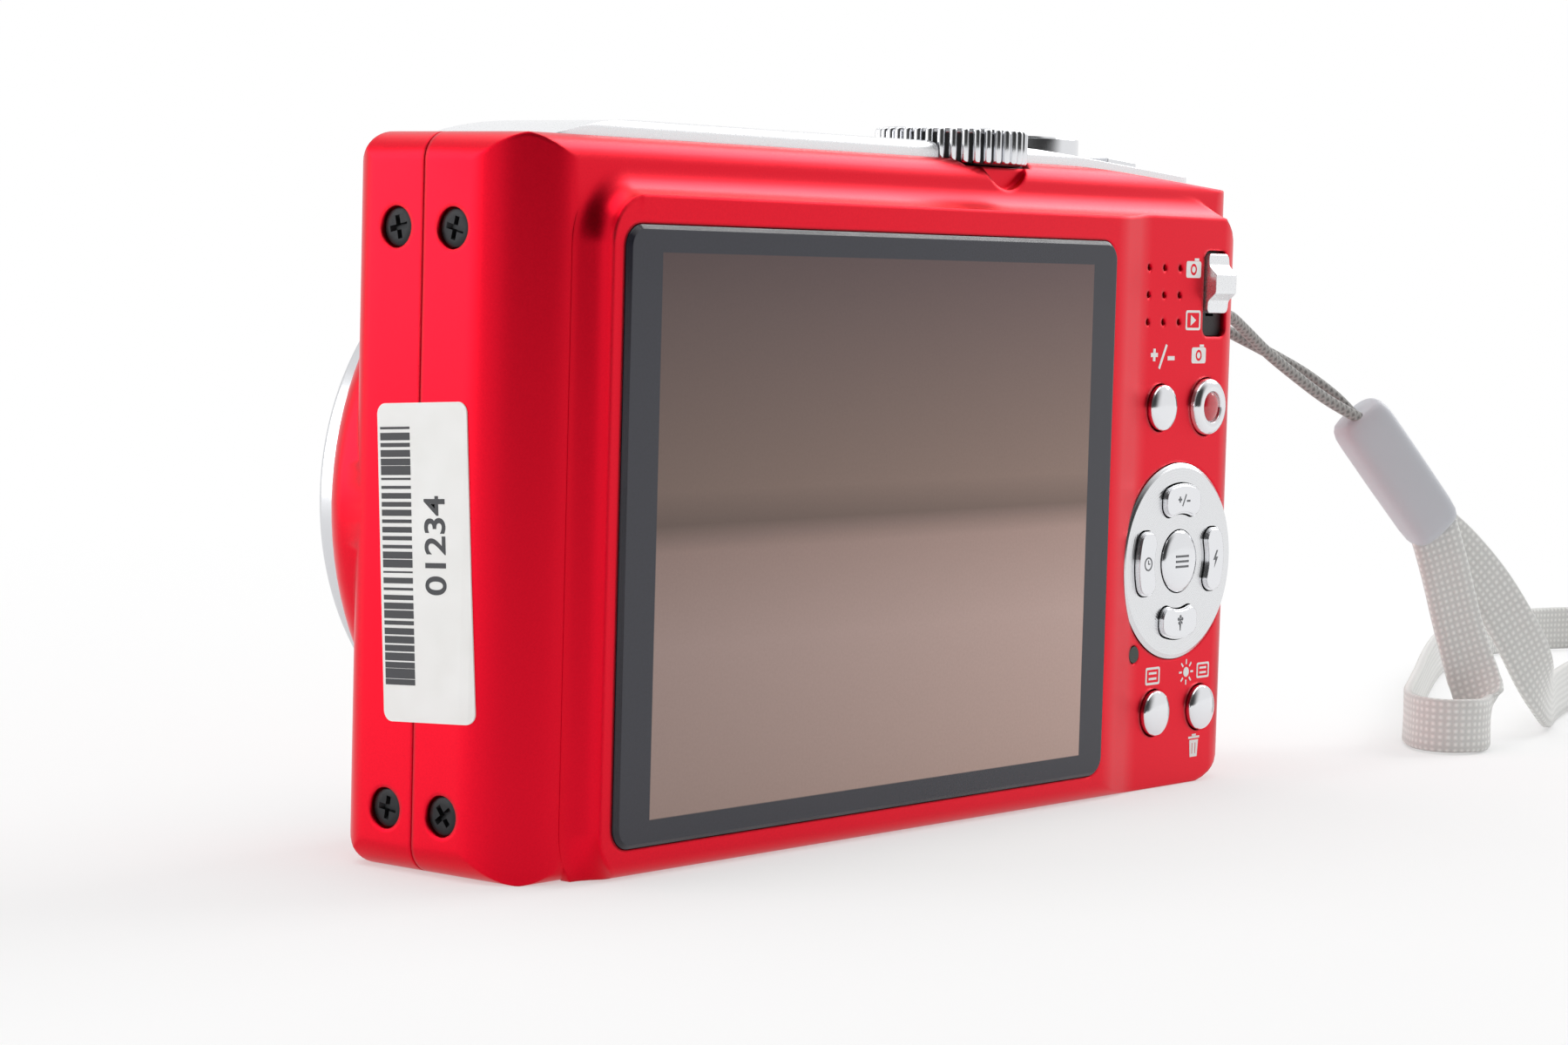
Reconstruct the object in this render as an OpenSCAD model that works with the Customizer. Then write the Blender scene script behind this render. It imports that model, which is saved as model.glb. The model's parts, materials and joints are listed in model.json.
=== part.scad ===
// Compact digital camera with a wide screen and a three-stage zoom lens, shown with the lens in.
// Millimetres, +Z up. The screen faces +Y and the lens faces -Y.
// The origin is the middle of the tripod socket's mouth, on the base.

/* [Body] */
// Distance from the lens end to the screen's plateau
end_w = 7.7; // [7:0.1:9]
// Width of the thumb area
thumb_w = 18.7; // [18:0.1:20]
// Height of the band over the plateau
top_band = 4.6; // [4.4:0.1:6]
// Distance from the tripod socket forward to the front face
front_d = 11; // [11:0.1:13]
// Distance from the tripod socket back to the band round the plateau
back_d = 8.8; // [8.8:0.1:10]
// Wall of the shells
wall = 1.3; // [1:0.05:1.4]
// How far the joint between the shells lies in front of the socket
seam_d = 2.4; // [2:0.1:3]
// Radius of the upright back edge at the lens end
lens_end_r = 6; // [4:0.1:7]
// Radius of the upright back edge at the thumb end
thumb_end_r = 4.5; // [3:0.1:5]
// Radius of the upright front edges
front_edge_r = 3; // [2:0.1:4]
// Radius along the top back edge
top_edge_r = 2.2; // [1.6:0.1:2.4]
// Radius along the bottom edges
bottom_edge_r = 1.5; // [1:0.1:1.8]
// How far the finger grip stands out of the front
grip_out = 2.2; // [1.5:0.1:3]

/* [Screen] */
// Dark surround at each side of the picture
border_w = 4.02; // [3:0.01:5]
// Dark surround above and below the picture
border_h = 2.19; // [2:0.01:3]
// Thickness of the cover glass
window_t = 1.1; // [0.9:0.05:1.2]
// How far the cover glass stands proud of the plateau
window_proud = 0.4; // [0.2:0.05:0.6]
// Height of the cover glass's lower edge
window_z = 2.5; // [2.2:0.1:3]
// Width of the picture
picture_w = 60.96; // [58:0.01:62]
// Height of the picture
picture_h = 45.72; // [43:0.01:46]
// Height of the raised plateau over the band
plateau_rise = 2.3; // [1.8:0.1:2.6]
// Height of the thumb area over the band
thumb_rise = 1.3; // [1:0.1:1.6]
// Plateau left round the cover glass
plateau_rim = 1.5; // [1.2:0.1:1.8]
// Flat rim between the screen's cover glass and the plateau's upper edge
top_rim = 2.3; // [1.5:0.1:2.6]

/* [Controls] */
// Diameter of the round keys
key_d = 4.4; // [4:0.1:5.2]
// Diameter of the ringed key
big_key_d = 5.5; // [5:0.1:5.8]
// Distance between the keys of a pair
key_pitch = 8; // [7.4:0.1:8.4]
// How far a key stands out of the back
key_proud = 0.9; // [0.7:0.05:1]
// Travel of a key
key_travel = 0.35; // [0.2:0.05:0.4]
// Diameter of the cursor plate
pad_d = 19; // [18:0.1:20]
// Height of the cursor plate's centre
pad_z = 22; // [21:0.1:23]
// Height of the upper pair of keys
upper_key_z = 36.9; // [36.5:0.1:38]
// Height of the lower pair of keys
lower_key_z = 7.4; // [7:0.1:8]
// Travel of the record and play switch
switch_travel = 2; // [1.6:0.1:2.4]
// Diameter of the mode dial
dial_d = 14; // [13:0.1:14.4]
// Height of the mode dial's rim
dial_t = 3.3; // [3:0.1:3.8]
// Number of grooves in the dial's rim
dial_grooves = 38; // [32:1:42]
// Diameter of the zoom lever's ring
zoom_ring_d = 12; // [11:0.1:12.6]
// Diameter of the shutter button
shutter_d = 7.6; // [7:0.1:8]
// Travel of the shutter button
shutter_travel = 0.8; // [0.5:0.1:0.8]

/* [Lens] */
// Distance of the lens axis from the middle of the body
lens_x = 25; // [24.6:0.1:25.2]
// Height of the lens axis
lens_z = 29.3; // [28.8:0.1:30]
// Radius of the rim of the front's swelling
boss_r = 23.2; // [22.8:0.1:23.6]
// How far the swelling stands out of the front face
boss_out = 3.2; // [2.6:0.1:3.6]
// Outer radius of the fixed ring round the lens
ring_r = 22; // [21.8:0.1:22.3]
// How far the front of the closed lens is from the front face
lens_out = 9; // [8.8:0.1:9.6]
// Wall of a lens barrel
barrel_wall = 1.25; // [1:0.05:1.3]
// Running clearance between the barrels
barrel_gap = 0.15; // [0.1:0.01:0.2]
// Radius of the opening in the front of the inner barrel
aperture_r = 8.2; // [7.8:0.1:8.4]

/* [Battery] */
// Width of the battery
battery_w = 34.6; // [33:0.1:35]
// Height of the battery
battery_h = 43.6; // [40:0.1:44]
// Thickness of the battery
battery_t = 7.8; // [7:0.1:7.9]
// Width of the memory card
card_w = 24; // [24:0.1:24]
// Height of the memory card
card_h = 32; // [32:0.1:32]
// Thickness of the memory card
card_t = 2.1; // [2.1:0.1:2.1]

/* [Fittings] */
// Radius of the tripod thread
socket_r = 3.175; // [3.175:0.001:3.175]
// Depth of the tripod socket
socket_depth = 5.5; // [5:0.1:6]
// Diameter of a side screw's head
screw_d = 3.2; // [2.8:0.1:3.4]
// Width of the paper label
label_w = 9.9; // [9:0.1:11]
// Length of the paper label
label_l = 25.6; // [24:0.1:27]
// Diameter of the strap's thin cord
cord_d = 1.2; // [1:0.1:1.4]
// Width of the strap's woven band
band_w = 5.6; // [5:0.1:6]

/* [Hidden] */
$fn = 96;
// Clearance of pieces that are fixed in each other
fit = 0.1;
// Clearance of pieces that move in each other
run = 0.15;
// Overlap of shapes that are cut or joined
over = 1;
// Steps in a rounded corner
steps = 10;
ramp_w = 5;
window_w = picture_w + 2 * border_w;
window_h = picture_h + 2 * border_h;
plateau_top = window_z + window_h + top_rim + fit;
switch_z = upper_key_z + 11;
body_w = end_w + plateau_rim + window_w + plateau_rim + ramp_w + thumb_w;
body_h = max(plateau_top + top_band, switch_z + 11.6);
left = body_w / 2;
right = -body_w / 2;
front = -front_d;
back = back_d;
seam = -seam_d;
seam_gap = 0.14;
thumb_corner_r = 8;
pad_end_r = 11;
lens_corner_r = 2.4;
grip_front = front - grip_out;
plateau_y = back + plateau_rise;
thumb_y = back + thumb_rise;
in_front = front + wall;
in_top = body_h - wall;
thumb_in = thumb_y - wall;
// Plateau and screen
plateau_x = left - end_w;
window_x = plateau_x - plateau_rim - window_w / 2;
window_mid_z = window_z + window_h / 2;
ramp_x = window_x - window_w / 2 - plateau_rim;
glass_y = plateau_y + window_proud;
glass_in = glass_y - window_t;
panel_t = 2.4;
panel_y = plateau_y - wall - fit;
// Thumb area
pad_x = right + 11.7;
pad_t = 0.8;
pad_sink = 0.45;
upper_key_x = pad_x + 3.5;
lower_key_x = pad_x + 3;
round_keys = [
    [upper_key_x, upper_key_z, key_d], [upper_key_x - key_pitch, upper_key_z, big_key_d],
    [lower_key_x, lower_key_z, key_d], [lower_key_x - key_pitch, lower_key_z, key_d]
];
cursor_r = 6.1;
cursor_l = 6.2;
cursor_w = 2.9;
cursor_corner = 1.2;
menu_d = 6;
key_flange = thumb_in - 1;
key_foot = thumb_in - 1.8;
dome_y = key_foot - key_travel - 0.05;
switch_x = right + 6.2;
switch_l = 8.2;
switch_w = 4;
knob_l = switch_l - switch_travel - 0.4;
knob_out = 1.25;
led_x = pad_x + 6.8;
led_z = pad_z - 8.7;
led_d = 1.6;
speaker_x = upper_key_x;
speaker_z = switch_z - 0.2;
speaker_w = 8.6;
// Top
cover_l = left - 3.4;
cover_r = right + 3.2;
cover_front = front + 3;
cover_back = back - 2.6;
cover_top = body_h + 1.5;
cover_wall = 1.1;
cover_fall = 2.1;
cover_fall_l = 30;
dial_x = right + 40.3;
dial_y = cover_back - 3.4;
dial_z = body_h - 0.5;
dial_shaft_r = 1.5;
shutter_x = right + 22.6;
shutter_y = cover_front + 5.4;
zoom_z = cover_top - 0.4;
zoom_t = 1.5;
zoom_shaft_r = 2.4;
power_x = right + 11.2;
power_y = cover_back - 4.8;
power_travel = 3;
microphone_x = [dial_x + 14, dial_x + 24];
microphone_y = cover_front + 6;
// Lens, as distances in front of the socket
lens_front = front_d + lens_out;
boss_front = front_d + boss_out;
ring_front = lens_front - 1.2;
barrel_1_r = ring_r - 1.3 - barrel_gap;
barrel_2_r = barrel_1_r - barrel_wall - barrel_gap;
barrel_3_r = barrel_2_r - barrel_wall - barrel_gap;
barrel_3_in = barrel_3_r - barrel_wall;
housing_r = barrel_1_r + barrel_gap + 1.2;
housing_back = 1.6;
pin_r = barrel_3_in - 3.3;
pin_d = 1.2;
cap_t = 0.8;
blade_t = 0.45;
blade_1 = lens_front - cap_t - 0.08 - blade_t;
blade_2 = blade_1 - blade_t - 0.08;
blade_split = aperture_r * 0.45;
seat_front = blade_2 - 0.08;
glass_r = aperture_r + 1;
// Flash and focus lamp
flash_z = body_h - 9.5;
flash_w = 11;
flash_h = 6;
// Battery compartment
case_wall = 0.7;
case_x = right + 7;
case_front = in_front + 0.1;
battery_x = case_x + case_wall + fit;
battery_y = case_front + case_wall + fit;
battery_z = wall + 0.9;
card_x = battery_x + 3;
card_y = battery_y + battery_t + fit + case_wall + fit;
case_back = card_y + card_t + fit + case_wall;
case_w = battery_w + 2 * fit + 2 * case_wall;
case_top = battery_z + battery_h + 1;
flash_x = case_x + case_w + 0.3 + flash_w / 2;
focus_x = flash_x - 10;
focus_z = flash_z + 0.5;
focus_d = 4.2;
capacitor_r = 4;
capacitor_l = 30;
motor_r = 3.2;
motor_x = lens_x - (housing_r + motor_r + 0.9) * cos(45);
motor_z = lens_z - (housing_r + motor_r + 0.9) * sin(45);
sensor_w = 16;
sensor_h = 14;
sensor_t = 1;
door_x = case_x;
door_w = case_w;
door_front = case_front + 0.2;
door_back = case_back + 1;
latch_travel = 3;
latch_w = 9;
latch_l = 3.6;
latch_x = door_x + door_w - latch_w - latch_travel - 4;
latch_y = door_front + 2.6;
hinge_pin_r = 0.35;
hinge_pin_l = 0.9;
// Boards
board_y = case_back + fit;
board_t = 1;
chip_t = 1.3;
chassis_back = panel_y - panel_t - fit;
chassis_t = 0.8;
// Ends and base
eyelet_y = 2.8;
eyelet_z = 46;
eyelet_bar_r = 0.8;
eyelet_out = 2.9;
socket_door_y = 0.2;
socket_door_w = 5.2;
socket_door_z = 13;
socket_door_h = 19;
socket_door_t = 1.1;
screw_z = [5.05, body_h - 7.7];
screw_y = [seam - 2.95, seam + 3.3];
screw_sink = 0.9;
base_screw_x = [left - 8, 8];
base_screw_d = 3;
socket_flange_r = 5;
label_y = seam + 1.1;
label_z = 25.2;
label_turn = 3.4;
label_t = 0.12;
pad_corner = 4;
// Strap: points along the middle of the thin loop, from the sleeve round the eyelet's bar and back
sleeve_top = [-80, 6, 35.6];
sleeve_turn = [0, 140, 151];
sleeve_l = 16.5;
sleeve_w = 6.2;
sleeve_t = 4.6;
cord_route = [
    [-80.2, 5.7, 35.4], [-78, 4.6, 37.4], [-74.4, 3.2, 39.6], [-70, 2.2, 41.4],
    [-65, 1.2, 43.2], [-60, 0.6, 44.8], [-56.6, 0.6, 45.6], [-54.6, 0.8, 45.9],
    [-53, 1.6, 46], [-52.6, 2.8, 46], [-53.2, 4, 46], [-54.8, 4.8, 45.9],
    [-56.8, 4.9, 45.5], [-60, 4.6, 44.2], [-65, 4.4, 41.8], [-70, 4.8, 39.4],
    [-74.4, 5.6, 37.2], [-78, 6.6, 35.6], [-79.9, 7.2, 34.9]
];
// Points along the middle of the woven band, out of the sleeve, round and back into it
band_route = [
    [-89.2, 10.8, 23.4], [-90.2, 11.8, 19], [-91.4, 13, 13], [-92.2, 14.6, 7.6],
    [-91.6, 16.6, 4], [-89, 18, 3], [-86, 18, 3], [-83.6, 16, 3],
    [-84, 13, 3], [-87, 10, 3], [-92, 7, 3], [-100, 3, 3],
    [-112, -3, 3], [-125, -9.6, 3], [-138, -16, 3], [-150, -21.6, 3],
    [-162, -26.4, 3], [-174, -29.6, 3], [-186, -30.4, 3], [-196, -28, 3],
    [-203, -22.6, 3], [-205.6, -15.6, 3], [-203, -9, 3], [-196.6, -5, 3],
    [-187, -3.6, 3], [-174, -2.4, 3], [-160, -0.4, 3], [-146, 2.4, 3],
    [-132, 6, 3], [-120, 10, 3], [-110, 14.4, 3.4], [-104, 16.4, 6],
    [-100.6, 15.6, 11], [-98, 13.2, 16.4], [-94.6, 11, 20.6], [-90.6, 9.4, 23.6]
];

// Points of a closed outline whose corners are [x, y, radius]
function unit(v) = v / norm(v);
function arc_at(a, b, c, r) =
    let (
        u = unit([a.x - b.x, a.y - b.y]),
        v = unit([c.x - b.x, c.y - b.y]),
        half = acos(u * v) / 2,
        middle = [b.x, b.y] + unit(u + v) * r / sin(half),
        first = [b.x, b.y] + u * r / tan(half) - middle,
        side = sign(u.x * v.y - u.y * v.x),
        start = atan2(first.y, first.x)
    )
    [for (i = [0:steps])
        middle + r * [cos(start - side * (180 - 2 * half) * i / steps),
                      sin(start - side * (180 - 2 * half) * i / steps)]];
function rounded(corners) =
    let (n = len(corners))
    [for (i = [0:n - 1])
        each corners[i][2] == 0
            ? [[corners[i].x, corners[i].y]]
            : arc_at(corners[(i + n - 1) % n], corners[i], corners[(i + 1) % n], corners[i][2])];

// An outline in X and Z, drawn out along Y
module along_y(y0, y1) {
    translate([0, y1, 0])
        rotate([90, 0, 0])
            linear_extrude(y1 - y0)
                children();
}

// An outline in Y and Z, drawn out along X
module along_x(x0, x1) {
    translate([x0, 0, 0])
        rotate([90, 0, 90])
            linear_extrude(x1 - x0)
                children();
}

// A profile of [radius, distance forward] turned about an axis that points to the front
module turned_forward(x, z) {
    translate([x, 0, z])
        rotate([90, 0, 0])
            rotate_extrude()
                children();
}

// A profile of [radius, Y] turned about an axis that points to the back
module turned_back(x, z) {
    translate([x, 0, z])
        rotate([-90, 0, 0])
            rotate_extrude()
                children();
}

// A round bar from the front to the back
module rod_y(x, z, y0, y1, r) {
    translate([x, y0, z])
        rotate([-90, 0, 0])
            cylinder(h = y1 - y0, r = r);
}

// A plain block from its lowest to its highest corner
module block(low, high) {
    translate(low)
        cube(high - low);
}

function body_plan() = [
    [left, front, front_edge_r], [left, back, lens_end_r],
    [right, back, thumb_end_r], [right, front, front_edge_r]
];
function body_side() = [
    [front, 0, 2.4], [back, 0, bottom_edge_r],
    [back, body_h, top_edge_r], [front, body_h, 3.2]
];
function body_face() = [
    [left, 0, lens_corner_r], [left, body_h, lens_corner_r], [right + 25, body_h, 100],
    [right, body_h - 1.8, 3.4], [right, 0, thumb_corner_r]
];
function pad_plan() = [
    [plateau_x, seam, 0], [plateau_x, plateau_y, 0.5], [ramp_x, plateau_y, 12],
    [ramp_x - ramp_w, thumb_y, 12], [right, thumb_y, thumb_end_r], [right, seam, 0]
];
function pad_side() = [
    [seam, 0, 0], [plateau_y, 0, bottom_edge_r],
    [plateau_y, body_h, 0], [seam, body_h, 0]
];
function pad_face() = [
    [plateau_x, 0, pad_corner], [plateau_x, plateau_top, pad_corner],
    [right, plateau_top, 0], [right, 0, 0]
];
function pad_end() = [
    [left, -over, 0], [left, plateau_top + plateau_rise, 0],
    [right, plateau_top + plateau_rise, pad_end_r], [right, -over, 0]
];

// The body without its plateau, with its faces moved in
module body_form(inset) {
    corner_u = (left - front - 2 * front_edge_r) / sqrt(2) + front_edge_r;
    intersection() {
        rotate([0, 0, -45])
            along_y(-body_w, body_w) offset(delta = -inset)
                polygon(rounded([
                    [-body_w, 0, 0], [-body_w, body_h, 0],
                    [corner_u, body_h, 2.5], [corner_u, 0, 2.5]
                ]));
        linear_extrude(body_h) offset(delta = -inset) polygon(rounded(body_plan()));
        along_x(right - over, left + over) offset(delta = -inset) polygon(rounded(body_side()));
        along_y(front - over, back + over) offset(delta = -inset) polygon(rounded(body_face()));
    }
}

// The hollow that curves up from the band to the plateau, as a profile
module cove_profile() {
    r = plateau_rise;
    polygon(concat(
        [[-over, -over], [r, -over], [r, 0]],
        [for (i = [1:8]) [r - r * sin(90 * i / 8), r - r * cos(90 * i / 8)]],
        [[-over, r]]
    ));
}

// The cove along the top of the plateau, and the one down its lens end with its two turns
module cove_top() {
    translate([right, back, plateau_top])
        rotate([90, 0, 90])
            linear_extrude(plateau_x - pad_corner - right)
                mirror([1, -1]) cove_profile();
}

module cove_end() {
    translate([plateau_x, back, pad_corner])
        linear_extrude(plateau_top - 2 * pad_corner)
            cove_profile();
    for (turn = [[plateau_top - pad_corner, 0], [pad_corner, 90]])
        translate([plateau_x - pad_corner, back, turn[0]])
            rotate([0, turn[1], 0])
                rotate([90, 0, 0])
                    rotate_extrude(angle = 90)
                        translate([pad_corner, 0])
                            mirror([0, 1]) cove_profile();
}

// The screen's plateau, the ramp and the thumb area
module pad_form(inset) {
    intersection() {
        along_x(right, left) offset(delta = -inset) polygon(rounded(pad_side()));
        along_y(seam, plateau_y) offset(delta = -inset) polygon(rounded(body_face()));
        along_y(seam, plateau_y) offset(delta = -inset) polygon(rounded(pad_end()));
        union() {
            intersection() {
                linear_extrude(body_h) offset(delta = -inset) polygon(rounded(pad_plan()));
                union() {
                    along_y(seam, plateau_y)
                        offset(delta = -inset) polygon(rounded(pad_face()));
                    if (inset == 0)
                        cove_top();
                }
            }
            if (inset == 0)
                cove_end();
        }
    }
}

// The swelling of the front round the lens, as a profile of radius and distance forward
module boss() {
    flare = 3.4;
    turned_forward(lens_x, lens_z)
        polygon(concat(
            [[0, front_d - 2.6], [boss_r + flare, front_d - 2.6]],
            [for (i = [0:8])
                [boss_r + flare * cos(90 * i / 8), front_d + boss_out * sin(90 * i / 8)]],
            [[0, boss_front]]
        ));
}

// The finger grip on the front
module grip_form(inset) {
    intersection() {
        linear_extrude(body_h)
            offset(delta = -inset) polygon(rounded([
                [right, grip_front, 4], [right, 0, 0], [right + 22, 0, 0],
                [right + 22, front, 8], [right + 13, grip_front, 6]
            ]));
        along_x(right, left)
            offset(delta = -inset) polygon(rounded([
                [grip_front, 2.5, 2], [front, 0, 1], [0, 0, 0],
                [0, body_h, 0], [front, body_h - 2, 1], [grip_front, body_h - 5, 3]
            ]));
        along_y(grip_front, 0) offset(delta = -inset) polygon(rounded(body_face()));
    }
}

// The outline of the top cover seen from above
module cover_plan(inset) {
    offset(delta = -inset) polygon(rounded([
        [cover_l, cover_front, 5], [cover_l, cover_back, 4],
        [cover_r, cover_back, 4], [cover_r, cover_front, 5]
    ]));
}

// Everything that both shells are open to: the cover, the battery door, the tripod socket
module shell_openings() {
    translate([0, 0, in_top - over])
        linear_extrude(10)
            cover_plan(-fit);
    block([door_x - run, door_front - run, -over], [door_x + door_w + run, door_back + run, wall + over]);
    translate([0, 0, -over])
        cylinder(h = wall + 2 * over, r = socket_flange_r + fit);
    for (y = screw_y, z = screw_z)
        translate([left - screw_sink, y, z])
            rotate([0, 90, 0]) {
                cylinder(h = 5, d = screw_d + 2 * fit);
                translate([0, 0, -5]) cylinder(h = 6, d = screw_d / 2 + fit);
            }
}

module front_shell() {
    color("crimson")
        difference() {
            intersection() {
                union() {
                    body_form(0);
                    grip_form(0);
                    boss();
                }
                block([right, -40, 0], [left, seam, body_h]);
            }
            body_form(wall);
            grip_form(wall);
            turned_forward(lens_x, lens_z)
                polygon([[0, 0], [boss_r - 0.4, 0], [boss_r - 0.4, front_d],
                    [ring_r + fit, boss_front - 1.6], [ring_r + fit, 40], [0, 40]]);
            along_y(-20, 0) flash_outline(-fit);
            rod_y(focus_x, focus_z, -20, 0, focus_d / 2 + fit);
            shell_openings();
            for (x = base_screw_x)
                base_screw_hole(x, front + 5.4);
        }
}

module rear_shell() {
    color("crimson")
        difference() {
            intersection() {
                union() {
                    body_form(0);
                    pad_form(0);
                }
                block([right, seam + seam_gap, 0], [left, 30, body_h]);
            }
            body_form(wall);
            pad_form(wall);
            // Seat of the cover glass, and the way through to the screen
            along_y(glass_in, 30) window_outline(-fit);
            along_y(0, 30) window_outline(2.2);
            // Keys, cursor plate, light and switch
            for (k = round_keys)
                rod_y(k[0], k[1], 0, 30, k[2] / 2 + run);
            rod_y(pad_x, pad_z, 0, 30, pad_d / 2 - 1.2);
            rod_y(pad_x, pad_z, thumb_y - pad_sink, 30, pad_d / 2 + fit);
            rod_y(led_x, led_z, 0, 30, led_d / 2 + fit);
            along_y(0, 30) slot_outline(-fit);
            // Speaker holes, three rows
            for (i = [0:2], j = [0:2])
                rod_y(speaker_x + (i - 1) * 2.7, speaker_z + (j - 1) * 2.6, 0, 30, 0.35);
            // Finger notch under the dial, and the dial's well
            translate([dial_x - 0.8, back - 0.85, body_h + 1.2])
                rotate([-90, 0, 0])
                    cylinder(h = 5, r = 3.9);
            translate([dial_x, dial_y, dial_z - run])
                cylinder(h = 5, d = dial_d + 0.6);
            shell_openings();
            // Socket door and the eyelet's seat in the thumb end
            block([right - over, socket_door_y - run, socket_door_z - run],
                [right + wall + over, socket_door_y + socket_door_w + run,
                 socket_door_z + socket_door_h + run]);
            block([right - over, eyelet_y - 2.5 - fit, eyelet_z - 3 - fit],
                [right + wall + over, eyelet_y + 2.5 + fit, eyelet_z + 3 + fit]);
            for (x = base_screw_x)
                base_screw_hole(x, back - 3);
            translate([door_x - hinge_pin_l - 0.2, door_back - wall / 2, wall / 2])
                rotate([0, 90, 0])
                    cylinder(h = door_w + 2 * hinge_pin_l + 0.4, r = hinge_pin_r + 0.05);
            translate([right + socket_door_t / 2, socket_door_y + socket_door_t / 2, socket_door_z - 1.2])
                cylinder(h = socket_door_h + 2.4, r = 0.35);
        }
}

// The domed top of the cover, let down by a distance
module cover_dome(drop) {
    translate([0, 0, -drop])
        intersection() {
            along_x(right, left)
                polygon(rounded([
                    [cover_front, 50, 0], [cover_back, 50, 0],
                    [cover_back, cover_top, 0.9], [cover_front, cover_top, 1.4]
                ]));
            along_y(front, back)
                polygon(rounded([
                    [cover_l, 50, 0], [cover_l, body_h - 0.6, 0],
                    [cover_l - 9, cover_top, 40], [cover_r + cover_fall_l, cover_top, 120],
                    [cover_r, cover_top - cover_fall, 0], [cover_r, 50, 0]
                ]));
        }
}

// The top cover closes the gap between the shells
module top_cover() {
    color("silver")
        difference() {
            intersection() {
                translate([0, 0, in_top - 1.2])
                    linear_extrude(9) cover_plan(0);
                union() {
                    difference() {
                        cover_dome(0);
                        translate([0, 0, -over])
                            linear_extrude(in_top + over) cover_plan(-over);
                        intersection() {
                            linear_extrude(90) cover_plan(cover_wall);
                            cover_dome(cover_wall);
                        }
                    }
                    // Floors under the dial and under the zoom lever
                    translate([dial_x, dial_y, in_top - 1.2])
                        cylinder(h = 2, d = dial_d + 3);
                    translate([shutter_x, shutter_y, in_top - 1.2])
                        cylinder(h = zoom_z - run - in_top + 1.2, d = zoom_ring_d + 1);
                }
            }
            translate([dial_x, dial_y, dial_z - run])
                cylinder(h = 9, d = dial_d + 0.6);
            translate([dial_x, dial_y, 0])
                cylinder(h = 90, r = dial_shaft_r + 0.05);
            translate([shutter_x, shutter_y, zoom_z - run])
                cylinder(h = 9, d = zoom_ring_d + 0.4);
            translate([shutter_x, shutter_y, 0])
                cylinder(h = 90, r = zoom_shaft_r + 0.05);
            // Slot of the power switch
            block([power_x - power_travel / 2 - 2.6, power_y - 0.75, 0],
                [power_x + power_travel / 2 + 2.6, power_y + 0.75, 90]);
            // Sound holes of the two microphones
            for (x = microphone_x, i = [-1:1], j = [0:1])
                translate([x + i * 1.1, microphone_y + j * 1.1, 0])
                    cylinder(h = 90, r = 0.3);
        }
}

module lens_ring() {
    color("silver")
        turned_forward(lens_x, lens_z)
            polygon(rounded([
                [barrel_1_r + barrel_gap, front_d - 0.6, 0], [boss_r - 1, front_d - 0.6, 0],
                [boss_r - 1, boss_front - 1.9, 0], [ring_r, boss_front - 1.9, 0],
                [ring_r, ring_front, 0.7], [barrel_1_r + barrel_gap, ring_front, 0.4]
            ]));
}

// Flash and focus lamp beside the lens
module flash_outline(inset) {
    translate([flash_x, flash_z])
        offset(delta = -inset)
            polygon(rounded([
                [-flash_w / 2, -flash_h / 2, 1], [flash_w / 2, -flash_h / 2, 1],
                [flash_w / 2, flash_h / 2, 1], [-flash_w / 2, flash_h / 2, 1]
            ]));
}

module flash_window() {
    color("whitesmoke")
        along_y(front - 0.2, front + wall + 0.6)
            flash_outline(0);
}

module flash_tube() {
    color("gainsboro")
        difference() {
            block([flash_x - flash_w / 2, front + wall + 0.7, flash_z - flash_h / 2],
                [flash_x + flash_w / 2, front + wall + 4.4, flash_z + flash_h / 2]);
            translate([flash_x - flash_w / 2 - over, front + wall + 0.7, flash_z])
                rotate([0, 90, 0])
                    cylinder(h = flash_w + 2 * over, r = flash_h / 2 - 0.6);
        }
    color("white")
        translate([flash_x - flash_w / 2, front + wall + 3, flash_z])
            rotate([0, 90, 0])
                cylinder(h = flash_w, r = 0.9);
}

module focus_lamp() {
    color("orange")
        turned_forward(focus_x, focus_z)
            polygon([[0, front_d - wall - 0.05], [focus_d / 2, front_d - wall - 0.05],
                [focus_d / 2, front_d - 0.2], [focus_d / 4, front_d + 0.15], [0, front_d + 0.2]]);
}

// Screen
module window_outline(inset) {
    translate([window_x, window_mid_z])
        offset(delta = -inset)
            polygon(rounded([
                [-window_w / 2, -window_h / 2, 1.8], [window_w / 2, -window_h / 2, 1.8],
                [window_w / 2, window_h / 2, 1.8], [-window_w / 2, window_h / 2, 1.8]
            ]));
}

module screen_window() {
    bevel = 0.35;
    color("darkslategray") {
        along_y(glass_in, glass_y - bevel) window_outline(0);
        for (i = [0:3])
            along_y(glass_y - bevel - 0.01, glass_y - bevel + bevel * (i + 1) / 4)
                window_outline(bevel * (i + 0.5) / 4);
    }
}

module screen_panel() {
    color("gray")
        block([window_x - picture_w / 2 - 2.4, panel_y - panel_t, window_mid_z - picture_h / 2 - 1.4],
            [window_x + picture_w / 2 + 2.4, panel_y, window_mid_z + picture_h / 2 + 1.4]);
}

// A pressed plate behind the screen with lightening holes and folded feet
module chassis() {
    low_z = wall + fit;
    plate_l = left - lens_end_r - 0.6;
    color("lightsteelblue")
        difference() {
            union() {
                block([ramp_x + 0.6, chassis_back - chassis_t, low_z],
                    [plate_l, chassis_back, in_top - 1]);
                for (x = base_screw_x)
                    block([x - 3, board_y, low_z], [x + 1.4, chassis_back, low_z + 1]);
            }
            for (x = [ramp_x + 14, ramp_x + 34, ramp_x + 54])
                rod_y(x, window_mid_z, 0, back, 6.5);
            for (x = base_screw_x)
                base_screw_hole(x, back - 3);
        }
}

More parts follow.
